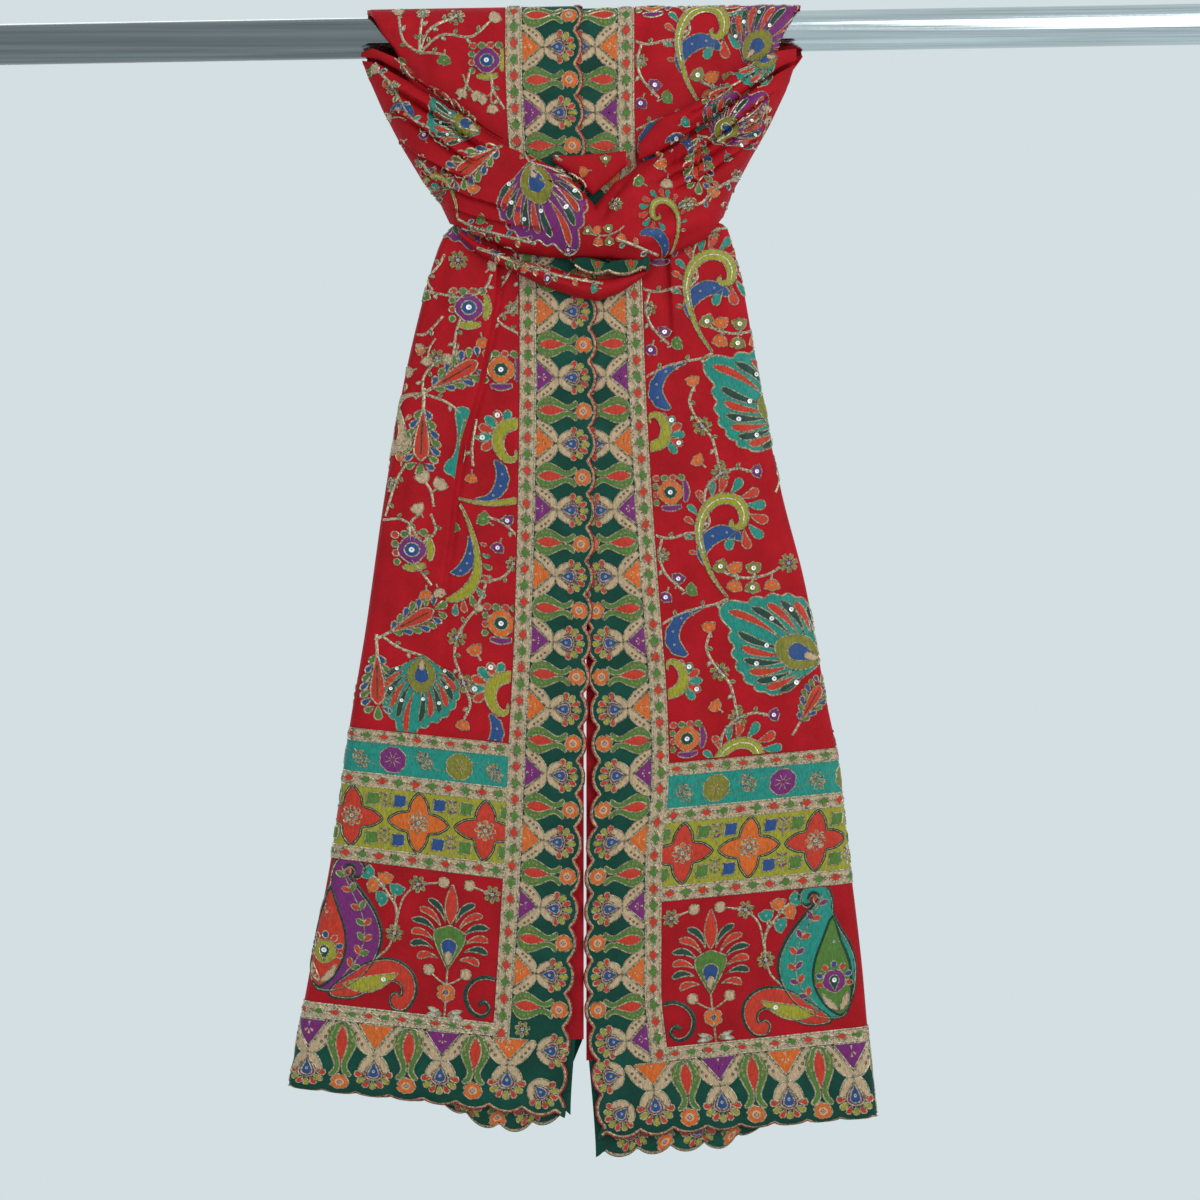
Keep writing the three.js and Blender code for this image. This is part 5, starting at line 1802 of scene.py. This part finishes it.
BAND_STEMS = (
    ((-166, -28), (-150, -46), (-136, -70), (-120, -80)), ((-58, -83), (-50, -94), (-43, -106)),
    ((-99, -149), (-84, -157), (-60, -164), (-38, -170)), ((-43, -106), (-30, -99), (-18, -104)),
    ((89, -86), (96, -88), (102, -93)), ((57, -178), (40, -172), (24, -166)),
    ((72, -86), (62, -96), (58, -106)), ((119, -116), (106, -124), (98, -129)),
    ((98, -129), (90, -138), (80, -139)), ((-128, -104), (-122, -112), (-116, -118)),
    ((-84, -172), (-52, -184), (-20, -194), (14, -200)),
)
BACK_MOTIFS = (
    ("fan_teal", 96, -20, 200, 0.7), ("hook", -60, -80, 0, 0.8), ("crescent_up", -76, -106, 0, 0.8),
    ("feather", 40, 2, 170, 0.9), ("daisy", -120, -22), ("bud_orange", -100, -40, 20, 0.9),
    ("square_purple", 6, -30, 0, 0.9), ("daisy", 132, -50), ("bud_purple", 118, -78, -30, 0.9),
    ("feather", -130, -50, 160, 0.8), ("bud_leaf", -96, -96, 120, 0.9),
    ("fan_purple", 20, -70, 170, 0.7, True), ("hook", 110, -140, 10, 0.6, True), ("daisy", -30, 6),
    ("bud_orange", 70, -110, 0, 0.9), ("square_orange", -84, 4, 0, 0.9),
)
BACK_STEMS = (
    ((-120, -22), (-108, -30), (-100, -40)), ((-30, 6), (-14, -4), (6, -30)),
    ((132, -50), (126, -64), (118, -78)), ((40, 2), (60, 8), (96, -20)),
    ((-130, -50), (-140, -36), (-120, -22)), ((-60, -80), (-40, -94), (-10, -100)),
)


RAY_START = 300  # distance from the rod's plane, well clear of the cloth


def seen_surface(grids, way):
    """What flat points of x and z meet on grids of cloth, looking along +y, or -y for a way of -1."""
    points, faces = [], []
    count = 0
    for grid, facing in grids:
        rows, columns = grid.shape[:2]
        points.extend(grid.reshape(-1, 3).tolist())
        faces.extend((grid_faces(rows, columns, facing) + count).tolist())
        count += rows * columns
    tree = BVHTree.FromPolygons(points, faces)

    def surface(flat_points):
        places = np.zeros((len(flat_points), 3))
        normals = np.zeros((len(flat_points), 3))
        found = np.zeros(len(flat_points), bool)
        for index, point in enumerate(flat_points):
            eye = Vector((point.real, -RAY_START * way, point.imag))
            hit, normal, _, _ = tree.ray_cast(eye, Vector((0, way, 0)))
            if hit is None:
                continue
            places[index] = hit
            normals[index] = normal if normal.y * way < 0 else -normal
            found[index] = True
        return places, normals, found
    return surface


def drawn(motifs, rows, stems):
    """Motifs and stems from tables of x and z."""
    stamp = Stamp()

    def put_row(name, x, z, turn=0, size=1.0, mirror=False):
        stamp.put(motifs[name], complex(x, z), turn, size, mirror)

    for row in rows:
        put_row(*row)
    for line in stems:
        leafy_stem(stamp, flat(*line), ("leaf", "blue", "orange", "teal"), 8, 7)
    return stamp


def inner_hem_surface(end):
    plain = end_surface(end, True)
    top = end["hem"] - HEM

    def surface(points):
        places, normals, found = plain(points)
        share = (-points.imag - top) / HEM
        x = places[:, 0]
        places[:, 2] += inner_hem_shift(end, x, share)
        return places, normals, found
    return surface


def strip_cord(points):
    """The cord along the band's scalloped edge, flat as x and z."""
    stamp = Stamp()
    edge = points[:, -1, :]
    stamp.cord(edge[:, 0] + 1j * (edge[:, 2] + 1.6), **EDGE_CORD)
    for index in range(2):
        stamp.put(border_drop(), complex(10 + PITCH * index, -177), 180, 0.5)
    return stamp


def embroider_end(end, motifs, materials):
    """Sews the borders, the panel and the field of an end, each kept within its own cloth."""
    name, surface, rows = end["name"], end_surface(end), PANEL_ROWS[end["name"]]
    stop = float(around_length(end, end["hem"])) - 3
    top = end["rows"][0][0] + 1
    sew(f"{name}_border", border_stamp(end), surface, materials, "green_border_cloth",
        inside_region(end, 0, top, end["hem"]))
    sew(f"{name}_hem", hem_stamp(end, stop), surface, materials, "green_border_cloth",
        inside_region(end, 0, 0, end["hem"]))
    sew(f"{name}_inner_hem", inner_hem_stamp(end, 150), inner_hem_surface(end), materials,
        "green_border_cloth")
    sew(f"{name}_strips", panel_strips(end, stop), surface, materials, "red_panel_cloth",
        inside_region(end, BORDER, rows["chains"][0][0], rows["chains"][-1][1]))
    sew(f"{name}_square", square_stamp(end, stop), surface, materials, "red_panel_cloth",
        inside_region(end, BORDER + 1.5, rows["square"][0] + 1, rows["square"][1] - 1))
    field = right_field_stamp(motifs) if end["side"] > 0 else left_field_stamp(motifs)
    sew(f"{name}_field", field, surface, materials, "red_field_cloth",
        inside_region(end, BORDER + 1.5, top, rows["chains"][0][0] - 1, end["side"] < 0))


def embroider_band(grids, strip_points, backs, motifs, materials):
    """Sews the band, its scalloped edge and the stretches behind the rod."""
    edge = [(strip_points, BAND_FACING)]
    for name, stamp, surface, slot in (
            ("band", drawn(motifs, BAND_FRONT, BAND_STEMS), seen_surface(grids, 1), "red_field_cloth"),
            ("band_edge", strip_cord(strip_points), seen_surface(edge, 1), "green_border_cloth"),
            ("back", drawn(motifs, BACK_MOTIFS, BACK_STEMS), seen_surface(backs, -1), "red_field_cloth")):
        sew(name, stamp, surface, materials, slot, deepest_step=DEEPEST_STEP)


# Materials

def thread_colour(nodes):
    node = nodes.new("ShaderNodeAttribute")
    node.attribute_name = "thread"
    return node.outputs["Color"]


def shaded(nodes, links, colour, value, dark, bright):
    """A colour made darker and brighter by a grey pattern."""
    tone = ramp(nodes, links, value, ((0.35, (dark,) * 3), (0.65, (bright,) * 3)))
    mixed = nodes.new("ShaderNodeMix")
    mixed.data_type = "RGBA"
    mixed.blend_type = "MULTIPLY"
    mixed.inputs["Factor"].default_value = 1
    links.new(colour, mixed.inputs["A"])
    links.new(tone, mixed.inputs["B"])
    return mixed.outputs["Result"]


def satin_thread():
    """Close satin stitches in the colour of the thread, with a soft shine."""
    material, nodes, links, shader = new_material("satin_thread")
    place = nodes.new("ShaderNodeTexCoord")
    stretch = nodes.new("ShaderNodeMapping")
    stretch.inputs["Scale"].default_value = (900, 900, 260)
    links.new(place.outputs["Object"], stretch.inputs["Vector"])
    stitches = noise(nodes, links, stretch.outputs["Vector"], 1, 2)
    colour = shaded(nodes, links, thread_colour(nodes), stitches, 0.72, 1.12)
    links.new(colour, shader.inputs["Base Color"])
    shader.inputs["Roughness"].default_value = 0.5
    shader.inputs["Specular IOR Level"].default_value = 0.3
    add_bump(nodes, links, shader, stitches, 0.5, 0.0005)
    return material


def metal_cord():
    """Twisted metal cord that glints in specks: the twist's own tones, with painted glints on the specks
    and painted shade in the gaps.
    """
    material, nodes, links, shader = new_material("metal_cord")
    place = nodes.new("ShaderNodeTexCoord")
    twist_and_painted_glints = noise(nodes, links, place.outputs["Object"], 560, 3, 0.7)
    # painted glints and painted shade: the thread colour runs from 0.16 to 1.4 times itself in specks
    links.new(shaded(nodes, links, thread_colour(nodes), twist_and_painted_glints, 0.16, 1.4), shader.inputs["Base Color"])
    shader.inputs["Metallic"].default_value = 0.45
    shader.inputs["Roughness"].default_value = 0.36
    add_bump(nodes, links, shader, twist_and_painted_glints, 0.7, 0.0006)
    return material


def bead_and_sequin():
    material, nodes, links, shader = new_material("bead_and_sequin")
    place = nodes.new("ShaderNodeTexCoord")
    # painted gleam: the bead and sequin colour is brightened and darkened a little in specks
    painted_gleam = noise(nodes, links, place.outputs["Object"], 300, 1)
    links.new(shaded(nodes, links, thread_colour(nodes), painted_gleam, 0.85, 1.05), shader.inputs["Base Color"])
    shader.inputs["Metallic"].default_value = 0.2
    shader.inputs["Roughness"].default_value = 0.22
    return material


def new_material(name):
    material = bpy.data.materials.new(name)
    material.use_nodes = True
    nodes = material.node_tree.nodes
    return material, nodes, material.node_tree.links, nodes["Principled BSDF"]


def noise(nodes, links, vector, scale, detail=3, roughness=0.55):
    node = nodes.new("ShaderNodeTexNoise")
    node.inputs["Scale"].default_value = scale
    node.inputs["Detail"].default_value = detail
    node.inputs["Roughness"].default_value = roughness
    links.new(vector, node.inputs["Vector"])
    return node.outputs["Fac"]


def weave(nodes, links, vector, spacing, direction):
    node = nodes.new("ShaderNodeTexWave")
    node.bands_direction = direction
    node.inputs["Scale"].default_value = 0.314 / spacing
    node.inputs["Distortion"].default_value = 1.2
    node.inputs["Detail"].default_value = 1
    links.new(vector, node.inputs["Vector"])
    return node.outputs["Fac"]


def math_node(nodes, links, operation, *values):
    """An operation on values, each a number or the output of a node."""
    node = nodes.new("ShaderNodeMath")
    node.operation = operation
    for socket, value in zip(node.inputs, values):
        if isinstance(value, (int, float)):
            socket.default_value = value
        else:
            links.new(value, socket)
    return node.outputs[0]


def ramp(nodes, links, value, stops):
    node = nodes.new("ShaderNodeValToRGB")
    elements = node.color_ramp.elements
    while len(elements) < len(stops):
        elements.new(0.5)
    for element, (position, colour) in zip(elements, stops):
        element.position = position
        element.color = (*colour, 1)
    links.new(value, node.inputs["Fac"])
    return node.outputs["Color"]


def add_bump(nodes, links, shader, height, strength, distance):
    node = nodes.new("ShaderNodeBump")
    node.inputs["Strength"].default_value = strength
    node.inputs["Distance"].default_value = distance
    links.new(height, node.inputs["Height"])
    links.new(node.outputs["Normal"], shader.inputs["Normal"])


def crepe_cloth(name, dark, base, light, roughness=0.62):
    """Fine crepe: a soft uneven dye, a tight weave and a faint crinkle."""
    material, nodes, links, shader = new_material(name)
    place = nodes.new("ShaderNodeTexCoord")
    cloth, solid = place.outputs["UV"], place.outputs["Object"]
    dye = noise(nodes, links, solid, 34, 4)
    mottle = noise(nodes, links, solid, 420, 3)
    tone = math_node(nodes, links, "ADD", math_node(nodes, links, "MULTIPLY", dye, 0.7),
                     math_node(nodes, links, "MULTIPLY", mottle, 0.3))
    colour = ramp(nodes, links, tone, ((0.25, dark), (0.5, base), (0.75, light)))
    links.new(colour, shader.inputs["Base Color"])
    shader.inputs["Roughness"].default_value = roughness
    shader.inputs["Specular IOR Level"].default_value = 0.12
    threads = math_node(nodes, links, "ADD", weave(nodes, links, cloth, 0.0006, "X"),
                        weave(nodes, links, cloth, 0.0006, "Y"))
    crinkle = noise(nodes, links, solid, 150, 4, 0.65)
    height = math_node(nodes, links, "ADD", math_node(nodes, links, "MULTIPLY", threads, 0.12), crinkle)
    add_bump(nodes, links, shader, height, 0.5, 0.0009)
    return material


def chrome():
    """Polished tube with fine lengthwise brushing and a few dull specks, its colour darkened on its left
    part as a painted reflection.
    """
    material, nodes, links, shader = new_material("chrome_tube_painted_reflection")
    place = nodes.new("ShaderNodeTexCoord")
    stretch = nodes.new("ShaderNodeMapping")
    stretch.inputs["Scale"].default_value = (3, 420, 420)
    links.new(place.outputs["Object"], stretch.inputs["Vector"])
    brushed = noise(nodes, links, stretch.outputs["Vector"], 1, 2)
    specks = noise(nodes, links, place.outputs["Object"], 900, 2)
    shader.inputs["Metallic"].default_value = 1
    tint = ramp(nodes, links, brushed, ((0.3, srgb(176, 186, 190)), (0.7, srgb(212, 220, 223))))
    # painted reflection: the base colour falls to about a third on the rod's left part, stays full on its
    # right part, and blends across the middle
    split = nodes.new("ShaderNodeSeparateXYZ")
    links.new(place.outputs["Object"], split.inputs["Vector"])
    along = math_node(nodes, links, "MULTIPLY_ADD", split.outputs["X"], 1.6, 0.5)
    links.new(shaded(nodes, links, tint, along, 0.36, 1.0), shader.inputs["Base Color"])
    rough = ramp(nodes, links, math_node(nodes, links, "MULTIPLY", specks, brushed),
                 ((0.1, (0.1, 0.1, 0.1)), (0.45, (0.24, 0.24, 0.24))))
    links.new(rough, shader.inputs["Roughness"])
    add_bump(nodes, links, shader, brushed, 0.12, 0.0003)
    return material


def floor_material():
    material, nodes, links, shader = new_material("pale_floor")
    place = nodes.new("ShaderNodeTexCoord")
    grain = noise(nodes, links, place.outputs["Object"], 60, 3)
    links.new(ramp(nodes, links, grain, ((0.3, srgb(214, 222, 224)), (0.7, srgb(222, 229, 231)))),
              shader.inputs["Base Color"])
    shader.inputs["Roughness"].default_value = 0.8
    return material


# Stage

def add_floor():
    half_wide, half_deep, height = 1.2, 0.6, -1.15
    corners = [(x * half_wide, y * half_deep, height) for x, y in ((-1, -1), (1, -1), (1, 1), (-1, 1))]
    mesh = bpy.data.meshes.new("floor")
    mesh.from_pydata(corners, [], [(0, 1, 2, 3)])
    mesh.materials.append(floor_material())
    floor = bpy.data.objects.new("floor", mesh)
    bpy.context.scene.collection.objects.link(floor)


def add_area_light(name, place, target, size, power, colour=(1, 1, 1)):
    light = bpy.data.lights.new(name, "AREA")
    light.shape = "RECTANGLE"
    light.size, light.size_y = size
    light.energy = power
    light.color = colour
    lamp = bpy.data.objects.new(name, light)
    lamp.location = place
    lamp.rotation_euler = (Vector(target) - Vector(place)).to_track_quat("-Z", "Y").to_euler()
    lamp.visible_camera = False
    bpy.context.scene.collection.objects.link(lamp)


def add_stage():
    add_floor()
    middle = (0.0, 0.0, -0.42)
    add_area_light("key_right", (1.0, -1.4, 0.3), middle, (1.3, 1.9), 20)
    add_area_light("fill_left", (-1.7, -1.8, 0.1), middle, (1.4, 1.6), 5)
    add_area_light("back_soft", (-0.9, 1.6, 0.6), middle, (1.4, 1.4), 12)
    world = bpy.data.worlds.new("pale_studio")
    world.use_nodes = True
    background = world.node_tree.nodes["Background"]
    background.inputs["Color"].default_value = (*srgb(214, 226, 229), 1)
    background.inputs["Strength"].default_value = 0.97
    bpy.context.scene.world = world
    bpy.context.scene.view_settings.view_transform = "Standard"


def add_camera():
    """Straight on, with the photograph's square frame at the cloth's plane."""
    camera = bpy.data.cameras.new("camera")
    camera.sensor_width = SENSOR
    camera.lens = SENSOR * CAMERA_DISTANCE / PHOTO_SPAN
    view = bpy.data.objects.new("camera", camera)
    view.location = Vector((PHOTO_MIDDLE[0], -30 - CAMERA_DISTANCE, PHOTO_MIDDLE[1])) * MM
    view.rotation_euler = (math.pi / 2, 0, 0)
    bpy.context.scene.collection.objects.link(view)
    bpy.context.scene.camera = view


def main():
    add_camera()
    field = crepe_cloth("red_crepe", srgb(136, 8, 16), srgb(157, 11, 23), srgb(174, 16, 30))
    panel = crepe_cloth("red_panel_crepe", srgb(130, 8, 16), srgb(151, 11, 22), srgb(168, 16, 29))
    border = crepe_cloth("dark_green_silk", srgb(6, 44, 35), srgb(10, 60, 48), srgb(18, 76, 62), 0.5)
    for end in (LEFT, RIGHT):
        add_end(end, field, panel, border)
    backs = add_back_wraps(field)
    band = add_band(field)
    strip_points = add_edge_strip(border)
    materials = {"fill": satin_thread(), "cord": metal_cord(), "bead": bead_and_sequin()}
    motifs = field_motifs()
    for end in (LEFT, RIGHT):
        embroider_end(end, motifs, materials)
    embroider_band(band, strip_points, backs, motifs, materials)
    rod = bpy.data.objects["display_rod"]
    rod.data.materials.clear()
    rod.data.materials.append(chrome())
    add_stage()


main()
